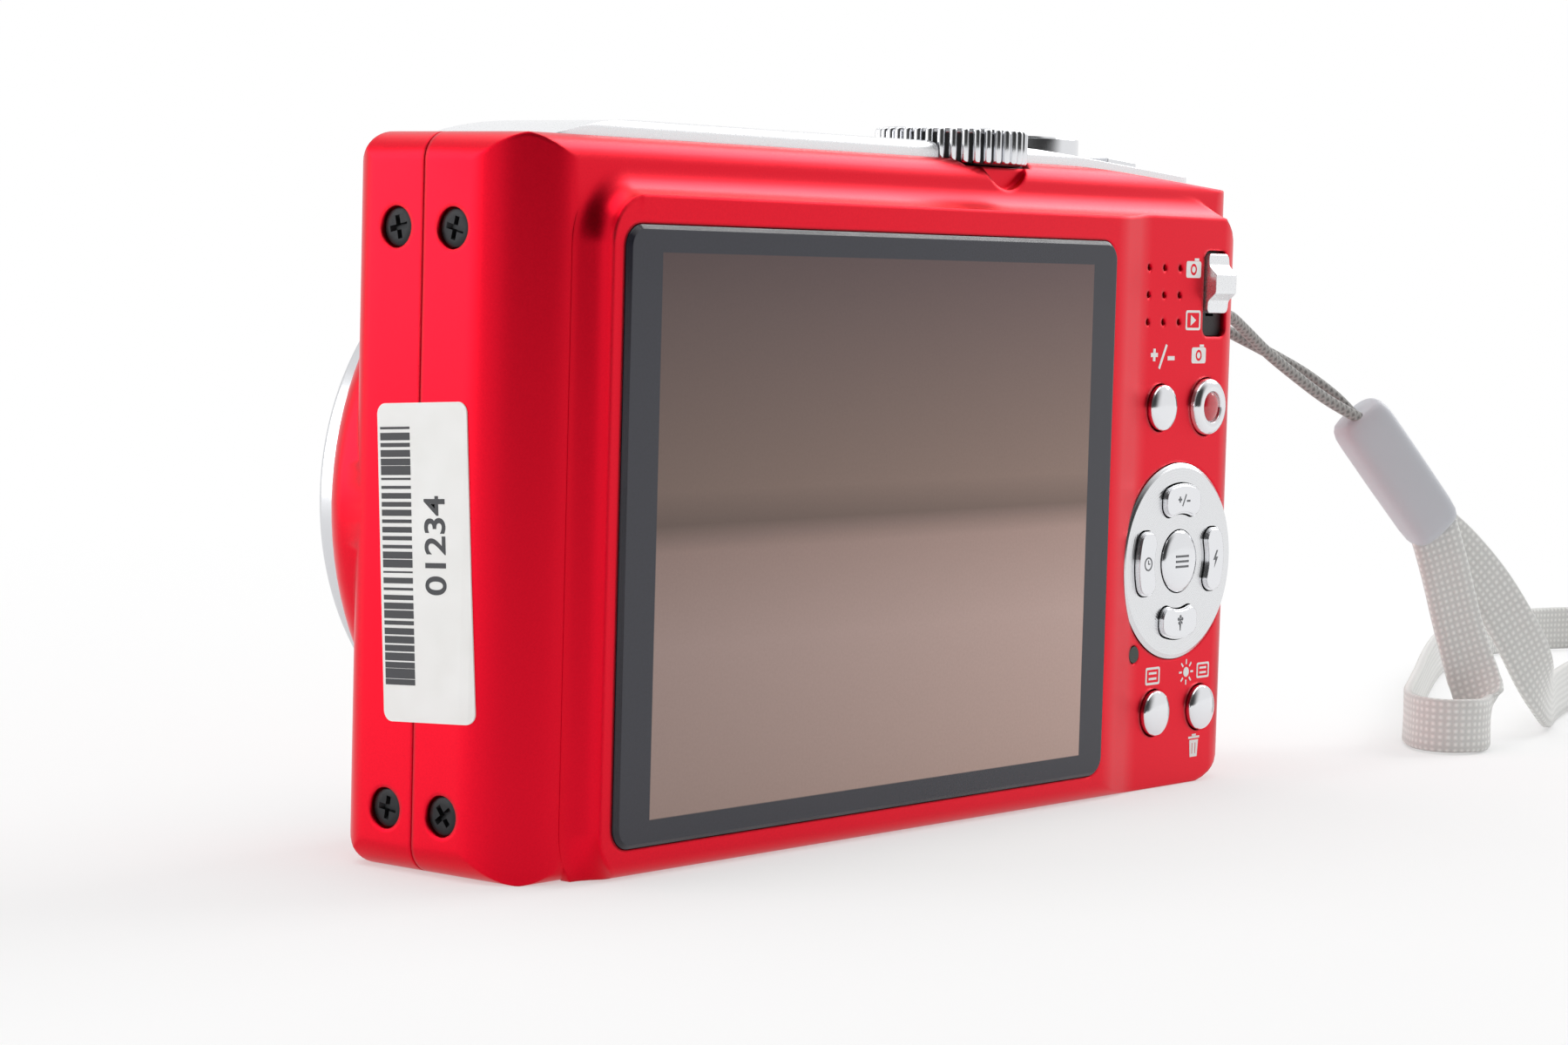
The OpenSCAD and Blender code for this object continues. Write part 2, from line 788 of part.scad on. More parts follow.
// The main board with its larger chips
module main_board() {
    board_l = lens_x - housing_r - 0.8;
    color("darkgreen") {
        block([case_x, board_y, socket_depth + 1.5], [board_l, board_y + board_t, body_h - 5]);
        for (c = [[-34, 14, 12], [-18, 16, 10], [-30, 36, 9], [-12, 40, 8]])
            block([c.x, board_y + board_t, c.y], [c.x + c.z, board_y + board_t + chip_t, c.y + c.z]);
    }
}

// The fixed tube that the barrels slide in, closed at the back but for the light's way through
module lens_housing() {
    color("dimgray")
        difference() {
            union() {
                turned_forward(lens_x, lens_z)
                    polygon([[0, -1.4], [housing_r, -1.4], [housing_r, front_d - 0.7], [0, front_d - 0.7]]);
                block([lens_x - housing_r + 3, -housing_back, wall + fit],
                    [lens_x + housing_r - 3, 1.4, wall + 4]);
                block([lens_x - 6, -housing_back, wall + 3],
                    [lens_x + 6, 1.4, lens_z - housing_r + 2]);
            }
            rod_y(lens_x, lens_z, -40, -housing_back, barrel_1_r + barrel_gap);
            rod_y(lens_x, lens_z, -housing_back - over, 3, 5);
        }
}

module image_sensor() {
    housing_end = 1.4;
    color("midnightblue")
        for (step = [0, 1])
            block([lens_x - sensor_w / 2 - 3 * step, housing_end + sensor_t * step,
                    lens_z - sensor_h / 2 - 3 * step],
                [lens_x + sensor_w / 2 + 3 * step, housing_end + sensor_t * (step + 1),
                    lens_z + sensor_h / 2 + 3 * step]);
}

// The motor lies in the corner under the housing, on a bracket from it
module zoom_motor() {
    color("silver") {
        rod_y(motor_x, motor_z, in_front + 2, board_y - fit, motor_r);
        rod_y(motor_x, motor_z, in_front + fit, in_front + 2, motor_r / 2);
    }
    color("dimgray")
        difference() {
            translate([motor_x, -1, motor_z])
                rotate([90, -45, 0])
                    translate([0, -motor_r / 2, 0])
                        cube([motor_r + 3, motor_r, 3]);
            rod_y(lens_x, lens_z, -5, 0, housing_r + fit);
        }
}

// The flash's capacitor stands between the battery compartment and the lens
module flash_capacitor() {
    color("black")
        translate([case_x + case_w + fit + capacitor_r, in_front + fit + capacitor_r, socket_depth + 2.5])
            cylinder(h = capacitor_l, r = capacitor_r);
}

// Battery and card compartment, open below
module battery_case() {
    color("dimgray")
        difference() {
            block([case_x, case_front, wall + 0.8], [case_x + case_w, case_back, case_top]);
            block([battery_x - fit, battery_y - fit, 0],
                [battery_x + battery_w + fit, battery_y + battery_t + fit, battery_z + battery_h + 0.2]);
            block([card_x - fit, card_y - fit, 0],
                [card_x + card_w + fit, card_y + card_t + fit, battery_z + card_h + 0.2]);
        }
}

module battery() {
    color("black")
        difference() {
            block([battery_x, battery_y, battery_z],
                [battery_x + battery_w, battery_y + battery_t, battery_z + battery_h]);
            for (i = [0:3])
                block([battery_x + 4 + i * 3.2, battery_y + 2, battery_z + battery_h - 1.2],
                    [battery_x + 6 + i * 3.2, battery_y + 5, battery_z + battery_h + 1]);
        }
}

// The card has one cut corner
module memory_card() {
    color("royalblue")
        along_y(card_y, card_y + card_t)
            polygon([
                [card_x, battery_z], [card_x + card_w, battery_z],
                [card_x + card_w, battery_z + card_h - 4],
                [card_x + card_w - 4, battery_z + card_h], [card_x, battery_z + card_h]
            ]);
}

module tripod_socket() {
    color("silver")
        difference() {
            union() {
                cylinder(h = wall, r = socket_flange_r);
                cylinder(h = socket_depth + 1.1, r = socket_r + 1.2);
            }
            translate([0, 0, -over])
                cylinder(h = socket_depth + over, r = socket_r);
            // Cone left by the drill
            translate([0, 0, socket_depth - 0.05])
                cylinder(h = 0.5, r1 = socket_r, r2 = socket_r - 0.6);
        }
}

// A bar on two arms, for the strap
module strap_eyelet() {
    color("silver") {
        block([right - 0.3, eyelet_y - 2.5, eyelet_z - 3], [right + wall, eyelet_y + 2.5, eyelet_z + 3]);
        for (s = [-1, 1])
            block([right - eyelet_out, eyelet_y - eyelet_bar_r, eyelet_z + s * 2.35 - 0.65],
                [right, eyelet_y + eyelet_bar_r, eyelet_z + s * 2.35 + 0.65]);
        translate([right - eyelet_out, eyelet_y, eyelet_z - 3])
            cylinder(h = 6, r = eyelet_bar_r);
    }
}

// A screw head with a cross recess, and its shank
module screw(d, shank) {
    difference() {
        union() {
            cylinder(h = 0.6, d = d);
            translate([0, 0, -shank]) cylinder(h = shank, d = d / 2);
        }
        for (turn = [0, 90])
            rotate(turn)
                translate([-d * 0.28, -d * 0.07, 0.2])
                    cube([d * 0.56, d * 0.14, 1]);
    }
}

module side_screws() {
    color("black")
        for (y = screw_y, z = screw_z)
            translate([left - screw_sink, y, z])
                rotate([0, 90, 0])
                    screw(screw_d, 4);
}

module base_screw_hole(x, y) {
    translate([x, y, -over]) {
        cylinder(h = 0.8 + over, d = base_screw_d + 2 * fit);
        cylinder(h = 4.8, d = base_screw_d / 2 + fit);
    }
}

module base_screws() {
    color("black")
        for (x = base_screw_x, y = [front + 5.4, back - 3])
            translate([x, y, 0.8])
                rotate([180, 0, 0])
                    screw(base_screw_d, 2.6);
}

module speaker() {
    color("dimgray")
        difference() {
            block([speaker_x - speaker_w / 2, thumb_in - 2.4, speaker_z - speaker_w / 2],
                [speaker_x + speaker_w / 2, thumb_in - fit, speaker_z + speaker_w / 2]);
            rod_y(speaker_x, speaker_z, thumb_in - 0.8, back + 3, 3.6);
        }
}

module microphones() {
    color("black")
        for (x = microphone_x)
            translate([x, microphone_y + 0.5, cover_top - 2.9])
                cylinder(h = 1.7, r = 2);
}

// A key's outline round the cursor plate: two arcs with rounded ends
module crescent(turn, grow) {
    rotate(turn)
        offset(r = cursor_corner + grow)
            intersection() {
                difference() {
                    circle(r = cursor_r + cursor_w / 2 - cursor_corner);
                    circle(r = cursor_r - cursor_w / 2 + cursor_corner);
                }
                translate([0, cursor_r])
                    square([cursor_l - 2 * cursor_corner, cursor_w + 4], center = true);
            }
}

module cursor_plate() {
    color("silver")
        difference() {
            turned_back(pad_x, pad_z)
                polygon([[0, thumb_y - pad_sink], [pad_d / 2, thumb_y - pad_sink],
                    [pad_d / 2, thumb_y + 0.1], [pad_d / 2 - 0.4, thumb_y - pad_sink + pad_t],
                    [0, thumb_y - pad_sink + pad_t]]);
            translate([pad_x, 0, pad_z])
                for (turn = [0:90:270])
                    along_y(0, 30) crescent(turn, 0.12);
            rod_y(pad_x, pad_z, 0, 30, menu_d / 2 + 0.12);
        }
}

module status_light() {
    color("green")
        rod_y(led_x, led_z, thumb_in - 1.2, thumb_y + 0.1, led_d / 2);
}

module slot_outline(inset) {
    translate([switch_x, switch_z])
        offset(delta = -inset)
            polygon(rounded([
                [-switch_w / 2, -switch_l / 2, 0.8], [switch_w / 2, -switch_l / 2, 0.8],
                [switch_w / 2, switch_l / 2, 0.8], [-switch_w / 2, switch_l / 2, 0.8]
            ]));
}

// The sunk plate that the record and play switch slides on
module switch_plate() {
    color("black")
        difference() {
            along_y(thumb_in - 0.4, thumb_y - 0.6) slot_outline(0);
            block([switch_x - 0.7, 0, switch_z - switch_travel / 2 - 1.2],
                [switch_x + 0.7, 30, switch_z + switch_travel / 2 + 1.2]);
        }
}

// The small board under the keys, with a dome under each
module key_board() {
    board_top = upper_key_z + 4;
    color("darkgreen") {
        block([right + 4.2, dome_y - 1.2, 4], [ramp_x - 0.4, dome_y - 0.4, board_top]);
        for (k = round_keys)
            rod_y(k[0], k[1], dome_y - 0.5, dome_y, 1.6);
        rod_y(pad_x, pad_z, dome_y - 0.5, dome_y, 1.6);
        for (turn = [0:90:270])
            rod_y(pad_x + cursor_r * sin(turn), pad_z + cursor_r * cos(turn), dome_y - 0.5, dome_y, 1.4);
    }
}

// Two sockets behind the small door
module av_sockets() {
    color("dimgray")
        difference() {
            for (s = [[socket_door_z + 1, 7.6], [socket_door_z + 10, 7.6]])
                block([right + wall + 0.2, socket_door_y + 0.2, s[0]],
                    [case_x - 0.1, socket_door_y + 5, s[0] + s[1]]);
            for (s = [[socket_door_z + 2, 5.6], [socket_door_z + 11, 5.6]])
                block([right, socket_door_y + 1.2, s[0]],
                    [case_x - 1.2, socket_door_y + 4, s[0] + s[1]]);
        }
}

// A paper label over the joint of the shells
module label() {
    color("white")
        difference() {
            intersection() {
                body_form(-label_t);
                translate([0, label_y, label_z])
                    rotate([label_turn, 0, 0])
                        along_x(left - 3, left + 1)
                            polygon(rounded([
                                [-label_w / 2, -label_l / 2, 0.9], [label_w / 2, -label_l / 2, 0.9],
                                [label_w / 2, label_l / 2, 0.9], [-label_w / 2, label_l / 2, 0.9]
                            ]));
            }
            body_form(0);
        }
}

// A tube swept along a route: at each point a ring of the given section
function along(route, i) =
    unit(route[min(i + 1, len(route) - 1)] - route[max(i - 1, 0)]);
function lean(z) = max(0, min(1, (z - 3) / 9));
function wide(route, i) =
    let (t = along(route, i), s = lean(route[i].z), r = [-0.7 * s, 0.4 * s, 1 - 0.4 * s])
    unit(r - (r * t) * t);
module sweep(route, section) {
    n = len(section);
    m = len(route);
    points = [for (i = [0:m - 1], p = section)
        route[i] + p.x * wide(route, i) + p.y * cross(along(route, i), wide(route, i))];
    sides = [for (i = [0:m - 2], j = [0:n - 1])
        [i * n + j, (i + 1) * n + j, (i + 1) * n + (j + 1) % n, i * n + (j + 1) % n]];
    ends = [[for (j = [0:n - 1]) j], [for (j = [0:n - 1]) (m - 1) * n + n - 1 - j]];
    polyhedron(points, concat(sides, ends), convexity = 8);
}

module strap_cord() {
    color("gray")
        sweep(cord_route, [for (i = [0:7]) cord_d / 2 * [cos(45 * i), sin(45 * i)]]);
}

module strap_band() {
    w = band_w / 2;
    t = 0.55;
    color("gainsboro")
        sweep(band_route, [[w, t / 2], [w * 0.86, t], [-w * 0.86, t], [-w, t / 2],
            [-w, -t / 2], [-w * 0.86, -t], [w * 0.86, -t], [w, -t / 2]]);
}

module strap_sleeve() {
    color("darkgray")
        translate(sleeve_top)
            rotate(sleeve_turn)
                linear_extrude(sleeve_l)
                    polygon(rounded([
                        [-sleeve_w / 2, -sleeve_t / 2, 1.4], [sleeve_w / 2, -sleeve_t / 2, 1.4],
                        [sleeve_w / 2, sleeve_t / 2, 1.4], [-sleeve_w / 2, sleeve_t / 2, 1.4]
                    ]));
}

module mode_dial() {
    rim_r = dial_d / 2;
    color("silver")
        difference() {
            union() {
                translate([dial_x, dial_y, dial_z]) {
                    cylinder(h = dial_t - 0.5, r = rim_r);
                    translate([0, 0, dial_t - 0.5]) cylinder(h = 0.5, r1 = rim_r, r2 = rim_r - 0.5);
                }
                translate([dial_x, dial_y, dial_z - 3.4])
                    cylinder(h = 4, r = dial_shaft_r);
            }
            for (i = [0:dial_grooves - 1])
                translate([dial_x, dial_y, dial_z + 0.5])
                    rotate(360 * i / dial_grooves)
                        translate([rim_r, 0, 0])
                            cylinder(h = dial_t, r = 0.34, $fn = 4);
        }
}

// The ring round the shutter button, with its finger tab to the front
module zoom_lever() {
    color("silver")
        difference() {
            union() {
                translate([shutter_x, shutter_y, zoom_z])
                    cylinder(h = zoom_t, d = zoom_ring_d);
                translate([shutter_x, shutter_y, zoom_z - 3])
                    cylinder(h = 3.5, r = zoom_shaft_r);
                translate([shutter_x - 1.4, shutter_y - zoom_ring_d / 2 - 1.6, cover_top + 0.15])
                    cube([2.8, 3, zoom_z + zoom_t - cover_top - 0.15]);
            }
            translate([shutter_x, shutter_y, zoom_z + 0.2])
                cylinder(h = 9, d = shutter_d + 0.4);
            translate([shutter_x, shutter_y, 0])
                cylinder(h = 90, r = 1.3);
        }
}

module shutter_button() {
    color("silver")
        translate([shutter_x, shutter_y, 0]) {
            translate([0, 0, zoom_z + 0.25 + shutter_travel])
                cylinder(h = zoom_t - shutter_travel, d = shutter_d);
            translate([0, 0, zoom_z - 3.4])
                cylinder(h = 4.6, r = 1.2);
        }
}

// The power switch slides down the cover's slope
module power_switch() {
    color("silver")
        translate([power_x, power_y, cover_top - cover_fall * (1 - (power_x - cover_r) / cover_fall_l)])
            rotate([0, -atan(cover_fall / cover_fall_l), 0]) {
                block([power_travel / 2 - 2.4, -1.6, 0.1], [power_travel / 2 + 2.4, 1.6, 0.9]);
                block([power_travel / 2 - 2.2, -0.65, -2], [power_travel / 2 + 2.2, 0.65, 0.2]);
            }
}

module play_switch() {
    middle = switch_z + switch_travel / 2;
    color("silver") {
        intersection() {
            along_y(thumb_y - 0.5, thumb_y + knob_out)
                translate([switch_x, middle])
                    polygon(rounded([
                        [-switch_w / 2 + 0.2, -knob_l / 2, 0.6], [switch_w / 2 - 0.2, -knob_l / 2, 0.6],
                        [switch_w / 2 - 0.2, knob_l / 2, 0.6], [-switch_w / 2 + 0.2, knob_l / 2, 0.6]
                    ]));
            along_x(switch_x - switch_w, switch_x + switch_w)
                translate([thumb_y, middle])
                    polygon(rounded([
                        [-0.5, -knob_l / 2, 0], [0.3, -knob_l / 2, 0.2], [0.4, -1.7, 0.6],
                        [knob_out, -0.9, 0.4], [knob_out, 0.9, 0.4], [0.4, 1.7, 0.6],
                        [0.3, knob_l / 2, 0.2], [-0.5, knob_l / 2, 0]
                    ]));
        }
        block([switch_x - 0.6, thumb_in - 1.4, middle - 1], [switch_x + 0.6, thumb_y - 0.4, middle + 1]);
    }
}

// A round key with a domed face, its flange and its foot
module round_key(x, z, d) {
    face = thumb_y + key_proud;
    turned_back(x, z)
        polygon(concat(
            [[0, key_foot], [1, key_foot], [1, key_flange], [d / 2 + 0.6, key_flange],
             [d / 2 + 0.6, key_flange + 0.8], [d / 2, key_flange + 0.8]],
            [for (i = [0:5]) [d / 2 * cos(15 * i), face - 0.5 + 0.5 * sin(15 * i) / sin(75)]],
            [[0, face]]
        ));
}

module exposure_key() {
    color("silver") round_key(upper_key_x, upper_key_z, key_d);
}

module quick_key() {
    color("silver") round_key(upper_key_x - key_pitch, upper_key_z, big_key_d);
}

module display_key() {
    color("silver") round_key(lower_key_x, lower_key_z, key_d);
}

module erase_key() {
    color("silver") round_key(lower_key_x - key_pitch, lower_key_z, key_d);
}

// One of the four keys in the cursor plate
module cursor_key(turn) {
    face = thumb_y - pad_sink + pad_t;
    color("silver")
        translate([pad_x, 0, pad_z]) {
            along_y(key_flange + 0.8, face + 0.3) crescent(turn, 0);
            along_y(face + 0.29, face + 0.5) crescent(turn, -0.2);
            along_y(key_flange, key_flange + 0.8) crescent(turn, 0.3);
            rod_y(-cursor_r * sin(turn), cursor_r * cos(turn), key_foot, key_flange + 0.1, 1);
        }
}

module cursor_up() {
    cursor_key(0);
}

module cursor_down() {
    cursor_key(180);
}

module cursor_left() {
    cursor_key(270);
}

module cursor_right() {
    cursor_key(90);
}

module menu_key() {
    face = thumb_y - pad_sink + pad_t + 0.5;
    color("silver")
        turned_back(pad_x, pad_z)
            polygon(concat(
                [[0, key_foot], [1, key_foot], [1, key_flange], [menu_d / 2 + 0.6, key_flange],
                 [menu_d / 2 + 0.6, key_flange + 0.6], [menu_d / 2, key_flange + 0.6]],
                [for (i = [0:5]) [menu_d / 2 * cos(15 * i), face - 0.4 + 0.4 * sin(15 * i) / sin(75)]],
                [[0, face]]
            ));
}

// A plain barrel, open at both ends
module barrel(r, back_end, front_end) {
    turned_forward(lens_x, lens_z)
        polygon(rounded([
            [r - barrel_wall, back_end, 0], [r, back_end, 0],
            [r, front_end, 0.35], [r - barrel_wall, front_end, 0.2]
        ]));
}

module barrel_outer() {
    color("silver") barrel(barrel_1_r, housing_back + 0.3, lens_front - 0.4);
}

module barrel_middle() {
    color("silver") barrel(barrel_2_r, housing_back + 0.9, lens_front - 0.2);
}

// The inner barrel with its front cap, the seat of the glass and the pins of the blades
module barrel_inner() {
    color("black") {
        barrel(barrel_3_r, housing_back + 1.5, lens_front - 0.1);
        turned_forward(lens_x, lens_z)
            polygon([[aperture_r, lens_front - cap_t], [barrel_3_r - 0.6, lens_front - cap_t],
                [barrel_3_r - 0.6, lens_front], [aperture_r + 1.6, lens_front],
                [aperture_r, lens_front - cap_t + 0.2]]);
        turned_forward(lens_x, lens_z)
            polygon([[glass_r, seat_front - 3.2], [barrel_3_in + 0.2, seat_front - 3.2],
                [barrel_3_in + 0.2, seat_front], [glass_r, seat_front]]);
        for (s = [-1, 1])
            rod_y(lens_x + s * pin_r, lens_z, -lens_front + cap_t - 0.1, -seat_front + 0.1, pin_d / 2);
    }
}

module front_glass() {
    color("black")
        turned_forward(lens_x, lens_z)
            polygon(concat(
                [[0, seat_front - 3], [glass_r - 0.02, seat_front - 3], [glass_r - 0.02, seat_front - 1.8]],
                [for (i = [1:8])
                    [(glass_r - 0.02) * (1 - i / 8), seat_front - 0.1 - 1.7 * pow(1 - i / 8, 2)]]
            ));
}

// A cover blade over the aperture from low to high, hung on the pin at the right of its outline
module blade(turn, layer, low, high) {
    color("dimgray")
        translate([lens_x, -layer, lens_z])
            rotate([90, 0, 0])
                rotate(turn)
                    linear_extrude(blade_t)
                        difference() {
                            union() {
                                intersection() {
                                    circle(r = aperture_r + 0.5);
                                    translate([-20, low]) square([40, high - low]);
                                }
                                polygon([[4, low], [max(6, 9 - low), low], [pin_r - 0.6, -1.3],
                                    [pin_r, 1.5], [6.5, low + 2.4], [4, low + 2.2]]);
                                translate([pin_r, 0]) circle(r = 1.5);
                            }
                            translate([pin_r, 0]) circle(d = pin_d + 0.1);
                        }
}

module blade_upper_inner() {
    blade(0, blade_1, 0.05, blade_split + 0.5);
}

module blade_upper_outer() {
    blade(0, blade_2, blade_split, aperture_r + 1);
}

module blade_lower_inner() {
    blade(180, blade_1, 0.05, blade_split + 0.5);
}

module blade_lower_outer() {
    blade(180, blade_2, blade_split, aperture_r + 1);
}

// The battery door turns on its back edge; the latch slides in its face
module battery_door() {
    hinge_r = wall / 2;
    color("crimson")
        difference() {
            union() {
                intersection() {
                    block([door_x, door_front, 0], [door_x + door_w, door_back - hinge_r, wall]);
                    body_form(0);
                }
                translate([door_x, door_back - hinge_r, hinge_r])
                    rotate([0, 90, 0])
                        cylinder(h = door_w, r = hinge_r);
                translate([door_x - hinge_pin_l, door_back - hinge_r, hinge_r])
                    rotate([0, 90, 0])
                        cylinder(h = door_w + 2 * hinge_pin_l, r = hinge_pin_r);
            }
            block([latch_x - run, latch_y - run, -over],
                [latch_x + latch_w + latch_travel + run, latch_y + latch_l + run, 0.75]);
        }
}

module door_latch() {
    color("dimgray")
        difference() {
            block([latch_x, latch_y, 0.05], [latch_x + latch_w, latch_y + latch_l, 0.65]);
            for (i = [0:3])
                block([latch_x + 2 + i * 1.4, latch_y + 0.6, -over],
                    [latch_x + 2.6 + i * 1.4, latch_y + latch_l - 0.6, 0.25]);
        }
}

module socket_door() {
    hinge_r = socket_door_t / 2;
    color("crimson") {
        block([right, socket_door_y + hinge_r, socket_door_z],
            [right + socket_door_t, socket_door_y + socket_door_w, socket_door_z + socket_door_h]);
        translate([right + hinge_r, socket_door_y + hinge_r, socket_door_z])
            cylinder(h = socket_door_h, r = hinge_r);
        translate([right + hinge_r, socket_door_y + hinge_r, socket_door_z - 1])
            cylinder(h = socket_door_h + 2, r = 0.3);
    }
}

front_shell();
rear_shell();
top_cover();
lens_ring();
flash_window();
flash_tube();
focus_lamp();
screen_window();
screen_panel();
chassis();
main_board();
lens_housing();
image_sensor();
zoom_motor();
flash_capacitor();
battery_case();
battery();
memory_card();
tripod_socket();
strap_eyelet();
side_screws();
base_screws();
speaker();
microphones();
cursor_plate();
status_light();
switch_plate();
key_board();
av_sockets();
label();
strap_cord();
strap_sleeve();
strap_band();
mode_dial();
zoom_lever();
shutter_button();
power_switch();
play_switch();
exposure_key();
quick_key();
display_key();
erase_key();
cursor_up();
cursor_down();
cursor_left();
cursor_right();
menu_key();
barrel_outer();
barrel_middle();
barrel_inner();
front_glass();
blade_upper_inner();
blade_upper_outer();
blade_lower_inner();
blade_lower_outer();
battery_door();
door_latch();
socket_door();
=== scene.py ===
import json
import math
from itertools import accumulate

import bmesh
import bpy
from mathutils import Matrix, Vector

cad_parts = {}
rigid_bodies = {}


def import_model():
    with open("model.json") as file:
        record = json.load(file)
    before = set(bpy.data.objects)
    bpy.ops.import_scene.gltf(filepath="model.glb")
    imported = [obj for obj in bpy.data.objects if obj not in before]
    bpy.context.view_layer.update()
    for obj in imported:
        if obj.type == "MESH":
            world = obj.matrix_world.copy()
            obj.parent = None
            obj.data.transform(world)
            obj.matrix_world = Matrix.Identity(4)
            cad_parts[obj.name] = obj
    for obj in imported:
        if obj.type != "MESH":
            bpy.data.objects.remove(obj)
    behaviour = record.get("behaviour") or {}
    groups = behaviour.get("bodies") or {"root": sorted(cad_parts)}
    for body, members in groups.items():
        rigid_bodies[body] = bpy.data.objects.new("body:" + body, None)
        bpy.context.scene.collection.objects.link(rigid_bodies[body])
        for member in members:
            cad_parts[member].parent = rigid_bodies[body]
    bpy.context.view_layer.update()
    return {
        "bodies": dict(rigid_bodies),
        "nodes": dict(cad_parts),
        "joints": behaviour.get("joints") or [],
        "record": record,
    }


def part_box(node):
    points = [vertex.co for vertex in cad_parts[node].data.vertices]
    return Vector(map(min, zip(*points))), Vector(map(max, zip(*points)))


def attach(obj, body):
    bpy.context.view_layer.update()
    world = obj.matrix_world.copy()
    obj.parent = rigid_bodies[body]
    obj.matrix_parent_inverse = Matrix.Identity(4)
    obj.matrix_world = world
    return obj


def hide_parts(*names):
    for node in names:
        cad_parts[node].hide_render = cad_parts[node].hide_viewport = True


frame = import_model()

bl_info = {
    "name": "Compact digital camera",
    "version": (1, 0, 0),
    "blender": (4, 5, 0),
    "location": "3D view > Sidebar > Camera",
    "description": "Finishes and fine pieces of a compact digital camera with a wrist strap",
    "category": "Object",
}

NODES = frame["nodes"]
MM = 0.001
WHITE = (1, 1, 1, 1)


# ---------------------------------------------------------------- helpers

def linear(code, alpha=1.0):
    """The linear colour of an sRGB hex value."""
    parts = [int(code[i:i + 2], 16) / 255 for i in (1, 3, 5)]
    return tuple(p / 12.92 if p <= 0.04045 else ((p + 0.055) / 1.055) ** 2.4 for p in parts) + (alpha,)


def add(tree, kind, inputs=None, **settings):
    """A new node with its settings, and its inputs set to values or linked to sockets."""
    node = tree.nodes.new(kind)
    for name, value in settings.items():
        setattr(node, name, value)
    for name, value in (inputs or {}).items():
        if isinstance(value, bpy.types.NodeSocket):
            tree.links.new(value, node.inputs[name])
        else:
            node.inputs[name].default_value = value
    return node


def finish(name, colour, **sockets):
    """A new material with its shader: (material, node tree, shader)."""
    material = bpy.data.materials.new(name)
    material.use_nodes = True
    tree = material.node_tree
    shader = tree.nodes["Principled BSDF"]
    shader.inputs["Base Color"].default_value = colour if len(colour) == 4 else (*colour, 1)
    for key, value in sockets.items():
        shader.inputs[key.replace("_", " ")].default_value = value
    return material, tree, shader


def place(tree):
    """Object coordinates, which are the camera's own millimetres times 0.001."""
    return add(tree, "ShaderNodeTexCoord").outputs["Object"]


def calc(tree, operation, first, second=0.0):
    """A sum done on one or two values or sockets."""
    return add(tree, "ShaderNodeMath", {0: first, 1: second}, operation=operation).outputs[0]


def scaled_by(tree, vector, scale):
    """A vector or colour times a value."""
    return add(tree, "ShaderNodeVectorMath", {0: vector, "Scale": scale}, operation="SCALE").outputs[0]


def fitted(tree, value, start, end, low, high, **settings):
    """A value brought from one span, start to end, to another, low to high."""
    spans = {"Value": value, "From Min": start, "From Max": end, "To Min": low, "To Max": high}
    return add(tree, "ShaderNodeMapRange", spans, **settings).outputs[0]


def mixed_colour(tree, share, one, two):
    mixed = add(tree, "ShaderNodeMix", {"Factor": share, "A": one, "B": two}, data_type="RGBA")
    return mixed.outputs["Result"]


def mixed_shader(tree, share, one, two):
    return add(tree, "ShaderNodeMixShader", {0: share, 1: one, 2: two}).outputs[0]


def paint(tree, shader, colour):
    """Gives a shader a colour that changes from place to place."""
    tree.links.new(colour, shader.inputs["Base Color"])


def raised(tree, shader, height, distance, strength=1.0):
    """A bump on a shader, or under another bump."""
    bump = add(tree, "ShaderNodeBump", {"Height": height, "Distance": distance, "Strength": strength})
    tree.links.new(bump.outputs[0], shader.inputs["Normal"])
    return bump


def soft_edges(tree, target, radius, samples=4):
    """Rounds the edges in the shading of a shader or bump. Millimetres."""
    edge = add(tree, "ShaderNodeBevel", {"Radius": radius * MM}, samples=samples)
    tree.links.new(edge.outputs[0], target.inputs["Normal"])


def mottle(tree, shader, noise, colour, darker, lighter, lift=0.0):
    """Varies a shader's colour a little, between a darker and a lighter share of it."""
    dark = tuple(c * darker for c in colour[:3]) + (1,)
    light = tuple(min(1, c * lighter + lift) for c in colour[:3]) + (1,)
    paint(tree, shader, mixed_colour(tree, noise.outputs[0], dark, light))


def grain(tree, shader, size, depth, rough=None, stretch=(1, 1, 1), spread=0.06, detail=3.0):
    """Fine unevenness of a surface: bump, and a little change in roughness."""
    scaled = add(tree, "ShaderNodeMapping", {"Vector": place(tree), "Scale": stretch})
    noise = add(tree, "ShaderNodeTexNoise", {
        "Vector": scaled.outputs[0], "Scale": 1 / size, "Detail": detail})
    bump = raised(tree, shader, noise.outputs[0], depth)
    if rough is not None:
        spans = fitted(tree, noise.outputs[0], 0.3, 0.7, rough - spread, rough + spread)
        tree.links.new(spans, shader.inputs["Roughness"])
    return noise, bump


def linked(name, data):
    """A new object in the scene."""
    piece = bpy.data.objects.new(name, data)
    bpy.context.scene.collection.objects.link(piece)
    return piece


def final_mesh(source):
    """The mesh that an object ends as. The object itself is removed."""
    depsgraph = bpy.context.evaluated_depsgraph_get()
    mesh = bpy.data.meshes.new_from_object(source.evaluated_get(depsgraph))
    bpy.data.objects.remove(source)
    return mesh


def object_of(name, mesh, material=None, smooth=True):
    """A new piece with its place in its mesh."""
    piece = linked(name, mesh)
    if material is not None:
        mesh.materials.append(material)
    if smooth:
        mesh.polygons.foreach_set("use_smooth", [True] * len(mesh.polygons))
    return piece


def from_bmesh(name, form, material=None, smooth=True):
    """A piece made of a bmesh, which is closed and points outwards."""
    bmesh.ops.remove_doubles(form, verts=form.verts, dist=1e-7)
    bmesh.ops.recalc_face_normals(form, faces=form.faces)
    mesh = bpy.data.meshes.new(name)
    form.to_mesh(mesh)
    form.free()
    return object_of(name, mesh, material, smooth)


